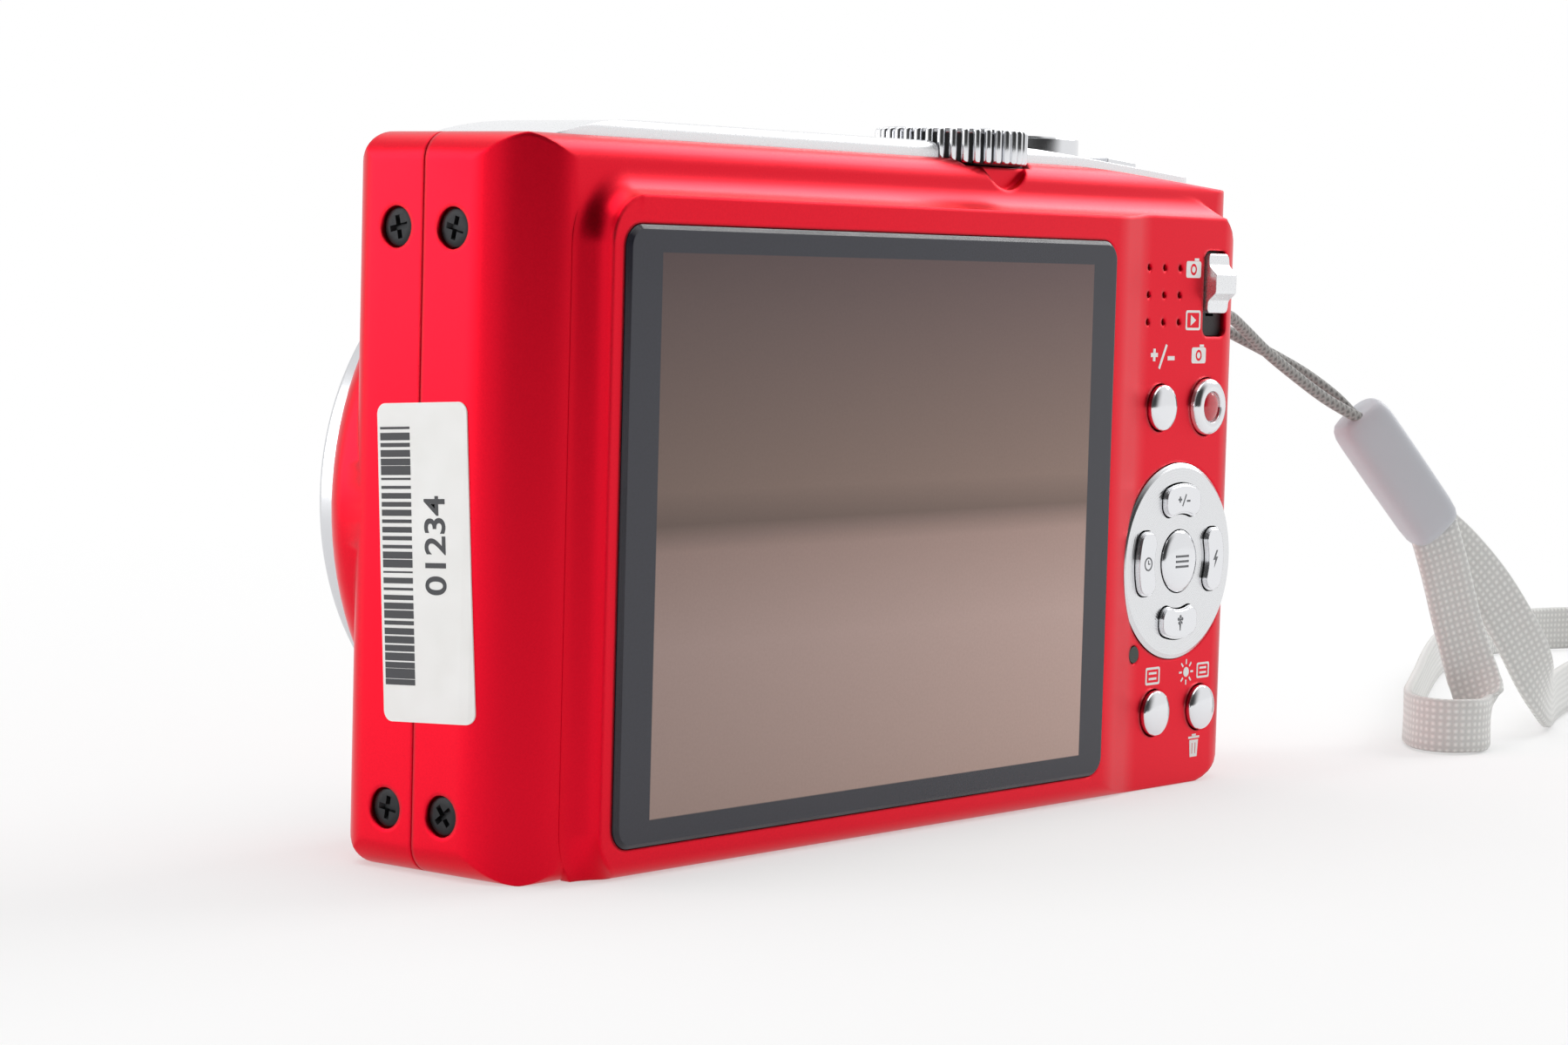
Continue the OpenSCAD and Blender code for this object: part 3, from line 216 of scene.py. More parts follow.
def skinned(form, rings):
    """Closes rings of corners into a solid: a wall between neighbours, and a cap at each end."""
    count = len(rings[0])
    for a, b in zip(rings, rings[1:]):
        for i in range(count):
            j = (i + 1) % count
            form.faces.new((a[i], a[j], b[j], b[i]))
    form.faces.new(list(reversed(rings[0])))
    form.faces.new(rings[-1])


def keep_edges(piece, angle=35):
    """Marks the edges that stay crisp on a smooth piece."""
    mesh = piece.data
    form = bmesh.new()
    form.from_mesh(mesh)
    for edge in form.edges:
        edge.smooth = len(edge.link_faces) == 2 and edge.calc_face_angle(0) < math.radians(angle)
    form.to_mesh(mesh)
    form.free()


def turned(profile, base, axis, segments=96):
    """A bmesh turned from [radius, height] points about an axis through base. Millimetres."""
    axis = Vector(axis).normalized()
    side = axis.orthogonal().normalized()
    other = axis.cross(side)
    form = bmesh.new()
    rings = []
    for radius, height in profile:
        middle = Vector(base) + axis * height
        if radius < 1e-6:
            rings.append([form.verts.new(middle * MM)])
            continue
        rings.append([
            form.verts.new((middle + radius * (math.cos(t) * side + math.sin(t) * other)) * MM)
            for t in (2 * math.pi * i / segments for i in range(segments))])
    for a, b in zip(rings, rings[1:]):
        for i in range(segments):
            j = (i + 1) % segments
            corners = [a[i % len(a)], a[j % len(a)], b[j % len(b)], b[i % len(b)]]
            corners = list(dict.fromkeys(corners))
            if len(corners) > 2:
                form.faces.new(corners)
    return form


def node_box(name):
    """A node's corners in millimetres."""
    low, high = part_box(name)
    return low / MM, high / MM


def middle_of(name):
    low, high = node_box(name)
    return (low + high) / 2


def dress(material, *names):
    """Gives CAD nodes a material."""
    for name in names:
        mesh = NODES[name].data
        mesh.materials.clear()
        mesh.materials.append(material)


def soften(*names):
    """Joins a CAD node's loose triangles while it is shown, and shades its curved faces smoothly."""
    tree = bpy.data.node_groups.get("Curved faces shaded smoothly") or smooth_tree()
    for name in names:
        piece = NODES[name]
        piece.modifiers.new("Curved faces", "NODES").node_group = tree
        weighted = piece.modifiers.new("Flat faces", "WEIGHTED_NORMAL")
        weighted.keep_sharp = True


def smooth_tree():
    """Merges corners, and keeps an edge crisp where its faces turn by more than the angle."""
    tree = bpy.data.node_groups.new("Curved faces shaded smoothly", "GeometryNodeTree")
    tree.interface.new_socket("Geometry", in_out="INPUT", socket_type="NodeSocketGeometry")
    angle = tree.interface.new_socket("Crisp angle", in_out="INPUT", socket_type="NodeSocketFloat")
    angle.default_value = math.radians(28)
    tree.interface.new_socket("Geometry", in_out="OUTPUT", socket_type="NodeSocketGeometry")
    source = add(tree, "NodeGroupInput")
    merged = add(tree, "GeometryNodeMergeByDistance", {
        "Geometry": source.outputs["Geometry"], "Distance": 1e-6})
    turn = add(tree, "GeometryNodeInputMeshEdgeAngle")
    flat = add(tree, "FunctionNodeCompare", {
        "A": turn.outputs["Unsigned Angle"], "B": source.outputs["Crisp angle"]}, operation="LESS_THAN")
    faces = add(tree, "GeometryNodeSetShadeSmooth", {"Geometry": merged.outputs[0], "Shade Smooth": True})
    edges = add(tree, "GeometryNodeSetShadeSmooth", {
        "Geometry": faces.outputs[0], "Shade Smooth": flat.outputs[0]}, domain="EDGE")
    result = add(tree, "NodeGroupOutput")
    tree.links.new(edges.outputs[0], result.inputs["Geometry"])
    return tree


def baked(name, tree, inputs, start=None):
    """A plain mesh from a Geometry Nodes tree whose named inputs are given."""
    source = linked(name + "_source", start or bpy.data.meshes.new(name))
    modifier = source.modifiers.new("Pattern", "NODES")
    modifier.node_group = tree
    sockets = {item.name: item.identifier for item in tree.interface.items_tree if item.in_out == "INPUT"}
    for key, value in inputs.items():
        modifier[sockets[key]] = value
    result = final_mesh(source)
    result.name = name
    return linked(name, result)


# ---------------------------------------------------------------- sizes and colours

class CameraSizes(bpy.types.PropertyGroup):
    """Sizes of the pieces that are added to the construction, in millimetres."""
    cord_diameter: bpy.props.FloatProperty(
        name="Cord", description="Diameter of the strap's thin cord, mm", default=1.2, min=0.8, max=1.6)
    band_width: bpy.props.FloatProperty(
        name="Band", description="Width of the strap's woven band, mm", default=5.6, min=4, max=7)
    dial_ribs: bpy.props.IntProperty(
        name="Dial ribs", description="Number of ribs round the mode dial", default=38, min=24, max=48)
    side_screw: bpy.props.FloatProperty(
        name="Side screw", description="Diameter of a side screw's head, mm", default=3.2, min=2.8, max=3.4)
    base_screw: bpy.props.FloatProperty(
        name="Base screw", description="Diameter of a base screw's head, mm", default=3.0, min=2.6, max=3.2)
    quick_key_width: bpy.props.FloatProperty(
        name="Ringed key", description="Diameter of the ringed key, mm", default=5.5, min=5.0, max=5.8)


class CameraColours(bpy.types.PropertyGroup):
    """Colours of the finishes."""
    body: bpy.props.FloatVectorProperty(
        name="Body", description="Colour of the anodised body", subtype="COLOR", size=4,
        default=linear("#E60025"), min=0, max=1)
    silver: bpy.props.FloatVectorProperty(
        name="Silver", description="Colour of the cover, dial and keys", subtype="COLOR", size=4,
        default=linear("#EEEFF1"), min=0, max=1)
    band: bpy.props.FloatVectorProperty(
        name="Band", description="Colour of the strap's woven band", subtype="COLOR", size=4,
        default=linear("#F1F1EE"), min=0, max=1)


# ---------------------------------------------------------------- materials

def surface(name, code, size, depth, rough, spread=0.05, vary=0.08, stretch=(1, 1, 1), **sockets):
    """A finish with fine unevenness in its height, its gloss and its colour. Sizes in millimetres."""
    colour = linear(code)
    material, tree, shader = finish(name, colour, Roughness=rough, **sockets)
    noise, _ = grain(tree, shader, size * MM, depth * MM, rough=rough, spread=spread, stretch=stretch)
    mottle(tree, shader, noise, colour, 1 - vary, 1 + vary)
    return material


def anodised_red():
    """Aluminium, blasted fine and anodised red: a satin metal sheen that turns deep where it sees no lamp."""
    colour, rough = bpy.context.scene.camera_colours.body, 0.34
    material, tree, shader = finish("Anodised aluminium, red satin", colour, Metallic=0.97, Roughness=rough,
                                    Coat_Weight=0.12, Coat_Roughness=0.25)
    noise, bump = grain(tree, shader, 0.16 * MM, 0.003 * MM, rough=rough, spread=0.04)
    mottle(tree, shader, noise, colour, 0.9, 1.1, 0.002)
    soft_edges(tree, bump, 0.5, samples=6)
    return material


def satin_silver(name="Aluminium, satin silver", rough=0.3):
    """Blasted and clear anodised aluminium: pale, with broad soft highlights."""
    silver = bpy.context.scene.camera_colours.silver
    material, tree, shader = finish(name, silver, Metallic=0.9, Roughness=rough)
    _, bump = grain(tree, shader, 0.14 * MM, 0.0008 * MM, rough=rough, spread=0.06)
    soft_edges(tree, bump, 0.1)
    return material


def chrome(name="Chrome on ABS, bright", rough=0.09):
    """Bright plating on moulded plastic: a mirror, a little softened, with a trace of moulding waves."""
    material, tree, shader = finish(name, linear("#E6E7EA"), Metallic=1.0, Roughness=rough)
    _, bump = grain(tree, shader, 1.6 * MM, 0.004 * MM, rough=rough, spread=0.03, detail=1.0)
    soft_edges(tree, bump, 0.1)
    return material


def spun(name, code, middle, axis, pitch, rough, metallic=1.0):
    """Metal turned on a lathe: fine rings about an axis. A real cut is 0.05 mm, drawn wider to show."""
    material, tree, shader = finish(name, linear(code), Metallic=metallic, Roughness=rough)
    ahead = {"y": (math.radians(90), 0, 0), "z": (0, 0, 0)}[axis]
    centred = add(tree, "ShaderNodeMapping", {
        "Vector": place(tree), "Location": tuple(-c * MM for c in middle)}, vector_type="POINT")
    turned_about = add(tree, "ShaderNodeVectorRotate", {"Vector": centred.outputs[0], "Rotation": ahead},
                       rotation_type="EULER_XYZ")
    # A wave texture of scale 0.314 has one ring to the unit
    rings = add(tree, "ShaderNodeTexWave", {
        "Vector": turned_about.outputs[0], "Scale": 0.314 / (pitch * MM), "Distortion": 0.4, "Detail": 1.0},
        wave_type="RINGS", rings_direction="Z").outputs["Fac"]
    raised(tree, shader, rings, 0.004 * MM)
    gloss = fitted(tree, rings, 0, 1, max(0.02, rough - 0.06), rough + 0.06)
    tree.links.new(gloss, shader.inputs["Roughness"])
    return material


def white_ink():
    """Screen-printed ink: flat white, with a slightly uneven edge of gloss."""
    return surface("Printed ink, white", "#F4F4F2", 0.2, 0.004, 0.5, vary=0.03)


def black_plastic():
    """Moulded ABS with a fine spark-eroded grain."""
    return surface("ABS, moulded black", "#1B1C1E", 0.25, 0.01, 0.5)


def label_paper():
    """Coated paper: smooth white with a faint cloudy unevenness, and soft waves where it was pressed on."""
    material, tree, shader = finish("Label paper, coated", linear("#F7F7F5"), Roughness=0.55)
    _, bump = grain(tree, shader, 0.12 * MM, 0.003 * MM, rough=0.55, spread=0.08, detail=5.0)
    waves = add(tree, "ShaderNodeTexNoise", {"Vector": place(tree), "Scale": 1 / (3.5 * MM), "Detail": 1.0})
    raised(tree, bump, waves.outputs[0], 0.05 * MM, 0.6)
    paint(tree, shader, mixed_colour(tree, waves.outputs[0], linear("#EFEFEC"), linear("#FBFBFA")))
    return material


# The colours of the switched-off picture, from its foot to its top: the panel's own brown-grey with a painted
# reflection, lighter towards the foot, with a dark band just above the middle and darker towards the top
PANEL_AND_REFLECTION_STEPS = ((0.0, "#B79A8F"), (0.3, "#BB9E95"), (0.47, "#A88A80"), (0.52, "#725A4F"), (0.58, "#876D61"),
                 (1.0, "#5C4443"))
PICTURE_EDGE = (2.4, 1.4)


def screen_glass():
    """Cover glass, printed black round the picture. The switched-off panel behind it is brown-grey, with a
    painted reflection in its colour: lighter towards the foot and towards one side, with a dark band across.
    """
    low, high = node_box("screen_panel")
    middle, half = (low + high) / 2, (high - low) / 2
    wide, tall = half.x - PICTURE_EDGE[0], half.z - PICTURE_EDGE[1]
    material, tree, shader = finish(
        "Glass, black printed border", linear("#2B2D33"), Roughness=0.06, Specular_IOR_Level=0.5)
    spot = add(tree, "ShaderNodeSeparateXYZ", {"Vector": place(tree)}).outputs

    def within(value, centre, reach):
        away = calc(tree, "ABSOLUTE", calc(tree, "SUBTRACT", value, centre * MM))
        return fitted(tree, away, (reach - 0.05) * MM, (reach + 0.05) * MM, 1.0, 0.0)

    inside = calc(tree, "MULTIPLY", within(spot["X"], middle.x, wide), within(spot["Z"], middle.z, tall))
    fall = fitted(tree, spot["Z"], (middle.z - tall) * MM, (middle.z + tall) * MM, 0.0, 1.0)
    across = fitted(tree, spot["X"], (middle.x - wide) * MM, (middle.x + wide) * MM, 0.0, 1.0)
    # Painted reflection: the panel's colour steps from light at its foot to dark at its top, with a dark band
    # across
    ramp = add(tree, "ShaderNodeValToRGB", {"Fac": fall})
    steps = ramp.color_ramp.elements
    for step, (at, code) in zip((steps[0], steps[1]), (PANEL_AND_REFLECTION_STEPS[0], PANEL_AND_REFLECTION_STEPS[-1])):
        step.position, step.color = at, linear(code)
    for at, code in PANEL_AND_REFLECTION_STEPS[1:-1]:
        steps.new(at).color = linear(code)
    # Painted light: the picture is lighter at its low-X side, on the right seen from the back, and darker at
    # its high-X side
    painted_side_light = scaled_by(tree, ramp.outputs[0], fitted(tree, across, 0, 1, 1.12, 0.72))
    speck = add(tree, "ShaderNodeTexNoise", {
        "Vector": place(tree), "Scale": 1 / (0.25 * MM), "Detail": 2.0}).outputs[0]
    picture = scaled_by(tree, painted_side_light, fitted(tree, speck, 0, 1, 0.93, 1.07))
    border = mixed_colour(tree, speck, linear("#23242E"), linear("#2A2B37"))
    paint(tree, shader, mixed_colour(tree, inside, border, picture))
    smear = add(tree, "ShaderNodeTexNoise", {"Vector": place(tree), "Scale": 1 / (9 * MM), "Detail": 4.0})
    tree.links.new(fitted(tree, smear.outputs[0], 0.35, 0.75, 0.05, 0.14), shader.inputs["Roughness"])
    soft_edges(tree, shader, 0.15)
    return material


def clear_plastic(name, code, rough, weight=0.9):
    """Clear acrylic: the light passes through it, with a slight haze of its own colour."""
    material, tree, shader = finish(name, linear(code), Roughness=rough, Transmission_Weight=weight, IOR=1.49)
    grain(tree, shader, 0.3 * MM, 0.003 * MM, rough=rough, spread=0.02)
    return material


# ---------------------------------------------------------------- stage

DARK_SIDE = Vector((0.42, 0.86, 0.28)).normalized()
CAMERA_PLACE = (0.26546, 0.20777, 0.05017)
CAMERA_AXES = ((-0.6292, 0.7768, 0.0270), (-0.0376, -0.0652, 0.9972), (0.7763, 0.6264, 0.0702))
# Name, place, aim, width and power
LAMPS = (("Overhead lamp", (0.05, -0.15, 0.9), (0, 0, 0.03), 0.9, 3.1),
         ("Thumb end lamp", (-0.85, 0.12, 0.62), (0, 0, 0.03), 0.6, 4.2),
         ("Lens end lamp", (0.75, -0.7, 0.25), (0.03, 0, 0.03), 0.6, 2.6))


class CAMERA_OT_stage(bpy.types.Operator):
    """Sets the floor, the soft lamps, the world and the view"""
    bl_idname = "camera_model.stage"
    bl_label = "Stage"

    def execute(self, context):
        scene = context.scene
        scene.view_settings.view_transform = "Standard"
        data = bpy.data.cameras.new("View")
        data.sensor_width = 36
        data.lens = 86
        data.clip_start = 0.01
        camera = linked("View", data)
        camera.matrix_world = Matrix.Translation(CAMERA_PLACE) @ Matrix(CAMERA_AXES).transposed().to_4x4()
        scene.camera = camera
        self.floor()
        self.world(scene)
        for values in LAMPS:
            self.lamp(*values)
        return {"FINISHED"}

    def lamp(self, name, place, aim, size, power):
        """A square soft lamp at a place, aimed at a point. Metres and watts"""
        data = bpy.data.lights.new(name, "AREA")
        data.shape = "RECTANGLE"
        data.size = data.size_y = size
        data.energy = power
        lamp = linked(name, data)
        lamp.location = place
        lamp.rotation_euler = (Vector(aim) - Vector(place)).to_track_quat("-Z", "Y").to_euler()

    def floor(self):
        """A white board. Seen directly or in a reflection, it turns whiter away from the camera's shadow"""
        mesh = bpy.data.meshes.new("Floor")
        size = 4.0
        mesh.from_pydata([(-size, -size, 0), (size, -size, 0), (size, size, 0), (-size, size, 0)], [],
                         [(0, 1, 2, 3)])
        material, tree, shader = finish("Painted board, white matt", linear("#F2F2F2"), Roughness=0.9)
        path = add(tree, "ShaderNodeLightPath").outputs
        seen = calc(tree, "MAXIMUM", path["Is Camera Ray"], path["Is Glossy Ray"])
        seen = calc(tree, "MAXIMUM", seen, path["Is Transmission Ray"])
        reach = add(tree, "ShaderNodeVectorMath", {0: place(tree)}, operation="LENGTH")
        fade = fitted(tree, reach.outputs["Value"], 0.10, 0.34, 0.45, 1.0, interpolation_type="SMOOTHSTEP")
        white = add(tree, "ShaderNodeEmission", {"Color": WHITE, "Strength": 1.0})
        board = mixed_shader(tree, calc(tree, "MULTIPLY", seen, fade), shader.outputs[0], white.outputs[0])
        tree.links.new(board, tree.nodes["Material Output"].inputs["Surface"])
        object_of("floor", mesh, material, smooth=False)

    def world(self, scene):
        """White all round, but dimmer in reflections of the side where the room is dark"""
        world = bpy.data.worlds.new("Studio")
        world.use_nodes = True
        scene.world = world
        tree = world.node_tree
        soft = tree.nodes["Background"]
        soft.inputs["Color"].default_value = WHITE
        soft.inputs["Strength"].default_value = 0.55
        towards = add(tree, "ShaderNodeTexCoord").outputs["Generated"]
        facing_dark = add(tree, "ShaderNodeVectorMath", {0: towards, 1: DARK_SIDE}, operation="DOT_PRODUCT")
        dim = fitted(tree, facing_dark.outputs["Value"], 0.35, 0.85, 0.93, 0.05,
                     interpolation_type="SMOOTHSTEP")
        mirrored = add(tree, "ShaderNodeBackground", {"Color": WHITE, "Strength": dim})
        path = add(tree, "ShaderNodeLightPath").outputs
        first = mixed_shader(tree, path["Is Glossy Ray"], soft.outputs[0], mirrored.outputs[0])
        seen = calc(tree, "MAXIMUM", path["Is Camera Ray"], path["Is Transmission Ray"])
        white = add(tree, "ShaderNodeBackground", {"Color": WHITE, "Strength": 1.0})
        tree.links.new(mixed_shader(tree, seen, first, white.outputs[0]),
                       tree.nodes["World Output"].inputs["Surface"])


# ---------------------------------------------------------------- strap

CORD_ROUTE = [
    (-80.2, 5.7, 35.4), (-78, 4.6, 37.4), (-74.4, 3.2, 39.6), (-70, 2.2, 41.4),
    (-65, 1.2, 43.2), (-60, 0.6, 44.8), (-56.6, 0.6, 45.6), (-54.6, 0.8, 45.9),
    (-53, 1.6, 46), (-52.6, 2.8, 46), (-53.2, 4, 46), (-54.8, 4.8, 45.9),
    (-56.8, 4.9, 45.5), (-60, 4.6, 44.2), (-65, 4.4, 41.8), (-70, 4.8, 39.4),
    (-74.4, 5.6, 37.2), (-78, 6.6, 35.6), (-79.9, 7.2, 34.9)]
BAND_ROUTE = [
    (-89.2, 10.8, 23.4), (-90.2, 11.8, 19), (-91.4, 13, 13), (-92.2, 14.6, 7.6),
    (-91.6, 16.6, 4), (-89, 18, 3), (-86, 18, 3), (-83.6, 16, 3),
    (-84, 13, 3), (-87, 10, 3), (-92, 7, 3), (-100, 3, 3),
    (-112, -3, 3), (-125, -9.6, 3), (-138, -16, 3), (-150, -21.6, 3),
    (-162, -26.4, 3), (-174, -29.6, 3), (-186, -30.4, 3), (-196, -28, 3),
    (-203, -22.6, 3), (-205.6, -15.6, 3), (-203, -9, 3), (-196.6, -5, 3),
    (-187, -3.6, 3), (-174, -2.4, 3), (-160, -0.4, 3), (-146, 2.4, 3),
    (-132, 6, 3), (-120, 10, 3), (-110, 14.4, 3.4), (-104, 16.4, 6),
    (-100.6, 15.6, 11), (-98, 13.2, 16.4), (-94.6, 11, 20.6), (-90.6, 9.4, 23.6)]


def smooth_route(points, step):
    """Points of a smooth line through the given ones, about one step apart."""
    points = [Vector(p) for p in points]
    ends = [2 * points[0] - points[1]] + points + [2 * points[-1] - points[-2]]
    line = [points[0]]
    for i in range(1, len(ends) - 2):
        a, b, c, d = ends[i - 1:i + 3]
        count = max(1, round((c - b).length / step))
        for k in range(1, count + 1):
            t = k / count
            line.append(0.5 * ((2 * b) + (c - a) * t + (2 * a - 5 * b + 4 * c - d) * t * t
                               + (3 * b - a - 3 * c + d) * t * t * t))
    return line


def swept(name, line, section, width_of, material, around):
    """A closed tube along a line, with a UV map: u counts millimetres round it, v along it."""
    form = bmesh.new()
    uv = form.loops.layers.uv.new("UVMap")
    rings = []
    reach = [0.0, *accumulate((b - a).length for a, b in zip(line, line[1:]))]
    for i, point in enumerate(line):
        along = (line[min(i + 1, len(line) - 1)] - line[max(i - 1, 0)]).normalized()
        wide = width_of(point)
        wide = (wide - wide.dot(along) * along).normalized()
        thick = along.cross(wide)
        rings.append([form.verts.new((point + x * wide + y * thick) * MM) for x, y in section])
    count = len(section)
    for i in range(len(rings) - 1):
        for j in range(count):
            k = (j + 1) % count
            face = form.faces.new((rings[i][j], rings[i + 1][j], rings[i + 1][k], rings[i][k]))
            for loop, (u, v) in zip(face.loops, (
                    (around[j], reach[i]), (around[j], reach[i + 1]),
                    (around[j + 1], reach[i + 1]), (around[j + 1], reach[i]))):
                loop[uv].uv = (u, v)
    form.faces.new(rings[0])
    form.faces.new(reversed(rings[-1]))
    return from_bmesh(name, form, material)


def lean(point):
    """The band's width stands up on the table and turns flat as it rises to the sleeve."""
    s = max(0.0, min(1.0, (point.z - 3) / 9))
    return Vector((-0.7 * s, 0.4 * s, 1 - 0.4 * s))


def woven_band():
    """Flat woven polyester: rows of yarn 0.5 mm apart, drawn at 0.7 mm so that they show."""
    colour = bpy.context.scene.camera_colours.band
    material, tree, shader = finish(
        "Polyester webbing, woven", colour, Roughness=0.8, Sheen_Weight=0.3, Sheen_Roughness=0.5)
    uv = add(tree, "ShaderNodeUVMap", uv_map="UVMap")
    rows = add(tree, "ShaderNodeTexWave", {
        "Vector": uv.outputs[0], "Scale": 0.45, "Distortion": 0.6, "Detail": 1.0, "Detail Scale": 2.0},
        bands_direction="Y")
    lines = add(tree, "ShaderNodeTexWave", {"Vector": uv.outputs[0], "Scale": 0.45, "Distortion": 0.3},
                bands_direction="X")
    both = calc(tree, "MULTIPLY", rows.outputs["Fac"], lines.outputs["Fac"])
    raised(tree, shader, both, 0.08 * MM, 0.7)
    paint(tree, shader, mixed_colour(tree, both, tuple(c * 0.72 for c in colour[:3]) + (1,), colour))
    return material


def braided_cord():
    """Round braided nylon: slanting strands about 0.6 mm long."""
    material, tree, shader = finish("Nylon cord, braided", linear("#8E8D8B"), Roughness=0.7, Sheen_Weight=0.2)
    uv = add(tree, "ShaderNodeUVMap", uv_map="UVMap")
    strands = []
    for slant in (40, -40):
        turned_uv = add(tree, "ShaderNodeMapping", {
            "Vector": uv.outputs[0], "Rotation": (0, 0, math.radians(slant))})
        strands.append(add(tree, "ShaderNodeTexWave", {"Vector": turned_uv.outputs[0], "Scale": 0.5},
                           bands_direction="Y").outputs["Fac"])
    both = calc(tree, "MAXIMUM", *strands)
    raised(tree, shader, both, 0.08 * MM, 0.8)
    paint(tree, shader, mixed_colour(tree, both, linear("#6A6967"), linear("#A3A29F")))
    return material


class CAMERA_OT_strap(bpy.types.Operator):
    """Makes the wrist strap's cord, band and sleeve"""
    bl_idname = "camera_model.strap"
    bl_label = "Wrist strap"

    def execute(self, context):
        sizes = context.scene.camera_sizes
        r = sizes.cord_diameter / 2
        ring = [(r * math.cos(t), r * math.sin(t)) for t in (2 * math.pi * i / 12 for i in range(12))]
        line = smooth_route(CORD_ROUTE, 0.8)
        around = [2 * math.pi * r * i / 12 for i in range(13)]
        cord = swept("strap_thin_cord", line, ring, lean, braided_cord(), around)
        w, t = sizes.band_width / 2, 0.55
        # One face of the band's section, from edge to edge, and then the other face back again
        half = [(1, 0.5), (0.92, 0.9), (0.45, 0.85), (0, 0.8), (-0.45, 0.85), (-0.92, 0.9), (-1, 0.5)]
        flat = [(w * x, t * y) for x, y in half] + [(w * x, -t * y) for x, y in reversed(half)]
        reach = [0.0, *accumulate(math.dist(a, b) for a, b in zip(flat, flat[1:] + flat[:1]))]
        band_line = smooth_route(BAND_ROUTE, 1.2)
        band = swept("strap_woven_band", band_line, flat, lean, woven_band(), reach)
        sleeve = self.sleeve()
        for piece, node in ((cord, "strap_cord"), (band, "strap_band"), (sleeve, "strap_sleeve")):
            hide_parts(node)
            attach(piece, "camera")
        return {"FINISHED"}

    def sleeve(self):
        """The sleeve, soft at its ends"""
        material, tree, shader = finish("ABS, moulded grey", linear("#C3C5CB"), Roughness=0.42)
        grain(tree, shader, 0.2 * MM, 0.004 * MM, rough=0.42)
        form = bmesh.new()
        rings = []
        wide, thick, long, sides, square = 3.1, 2.3, 16.5, 40, 0.55
        for share, size in ((0, 0.66), (0.012, 0.80), (0.04, 0.91), (0.085, 0.98), (0.15, 1.0), (0.5, 1.0),
                            (0.85, 0.98), (0.93, 0.94), (0.97, 0.87), (0.99, 0.76), (1.0, 0.62)):
            ring = []
            for i in range(sides):
                t = 2 * math.pi * i / sides
                c, s = math.cos(t), math.sin(t)
                x = wide * math.copysign(abs(c) ** square, c)
                y = thick * math.copysign(abs(s) ** square, s)
                inset = (1 - size) * thick
                x -= math.copysign(min(abs(x), inset), x)
                y -= math.copysign(min(abs(y), inset), y)
                ring.append(form.verts.new((x, y, share * long)))
            rings.append(ring)
        skinned(form, rings)
        turn = Matrix.Rotation(math.radians(151), 3, "Z") @ Matrix.Rotation(math.radians(140), 3, "Y")
        start = Vector((-80, 6, 35.6))
        for vert in form.verts:
            vert.co = (turn @ vert.co + start) * MM
        return from_bmesh("strap_soft_sleeve", form, material)


# ---------------------------------------------------------------- flat shapes, figures and symbols

def mesh_of(curve):
    """The mesh of a flat outline or of figures."""
    mesh = final_mesh(linked("Outline", curve))
    bpy.data.curves.remove(curve)
    return mesh


def cut_out(outlines, thick=0.04):
    """A flat shape in its own plane: closed outlines, in millimetres, and the holes inside them."""
    curve = bpy.data.curves.new("Outline", "CURVE")
    curve.dimensions = "2D"
    curve.fill_mode = "BOTH"
    curve.extrude = thick / 2 * MM
    for points in outlines:
        spline = curve.splines.new("POLY")
        spline.points.add(len(points) - 1)
        for point, (x, y) in zip(spline.points, points):
            point.co = (x * MM, y * MM, 0, 1)
        spline.use_cyclic_u = True
    return mesh_of(curve)


def figures(text, height, thick=0.04, bold=0.0):
    """Plain figures of the given height, in millimetres."""
    curve = bpy.data.curves.new("Figures", "FONT")
    curve.body = text
    curve.size = height * MM / 0.72
    curve.extrude = thick / 2 * MM
    curve.offset = bold * MM
    curve.align_x = "CENTER"
    curve.align_y = "CENTER"
    return mesh_of(curve)


def circle(x, y, r, count=28):
    return [(x + r * math.cos(2 * math.pi * i / count), y + r * math.sin(2 * math.pi * i / count))
            for i in range(count)]


def box(x, y, w, h, r=0.0, turn=0.0):
    """A rectangle about x, y, with rounded corners."""
    points = []
    for quarter, (a, b) in enumerate(((1, 1), (-1, 1), (-1, -1), (1, -1))):
        for k in range(5 if r else 1):
            t = math.radians(90 * quarter + 22.5 * k)
            points.append((a * (w / 2 - r) + r * math.cos(t), b * (h / 2 - r) + r * math.sin(t)))
    c, s = math.cos(math.radians(turn)), math.sin(math.radians(turn))
    return [(x + c * u - s * v, y + s * u + c * v) for u, v in points]


def camera_symbol(size):
    """A camera: a body with a round lens."""
    return [box(0, 0, size, size * 0.62, size * 0.1), circle(0, 0, size * 0.22), circle(0, 0, size * 0.12),
            box(size * 0.2, size * 0.37, size * 0.3, size * 0.1)]


def play_symbol(size):
    """A frame with a triangle in it."""
    h = size * 0.2
    return [box(0, 0, size, size * 0.74, size * 0.1), box(0, 0, size * 0.82, size * 0.56, size * 0.05),
            [(-h * 0.8, -h), (h, 0), (-h * 0.8, h)]]


def light_symbol(size):
    """Plus and minus with a stroke between them, for a lighter or darker picture."""
    s = size
    plus = [(-0.1, -0.3), (0.1, -0.3), (0.1, -0.1), (0.3, -0.1), (0.3, 0.1), (0.1, 0.1),
            (0.1, 0.3), (-0.1, 0.3), (-0.1, 0.1), (-0.3, 0.1), (-0.3, -0.1), (-0.1, -0.1)]
    return [[(x * s - 0.75 * s, y * s + 0.08 * s) for x, y in plus], box(0, 0, 0.16 * s, 1.3 * s, turn=-28),
            box(0.72 * s, -0.08 * s, 0.6 * s, 0.2 * s)]


def screen_symbol(size):
    """A screen with two lines of writing."""
    return [box(0, 0, size * 1.3, size * 0.9, size * 0.12), box(0, 0, size * 1.06, size * 0.66, size * 0.05),
            box(0, size * 0.14, size * 0.7, size * 0.12), box(0, -size * 0.14, size * 0.7, size * 0.12)]


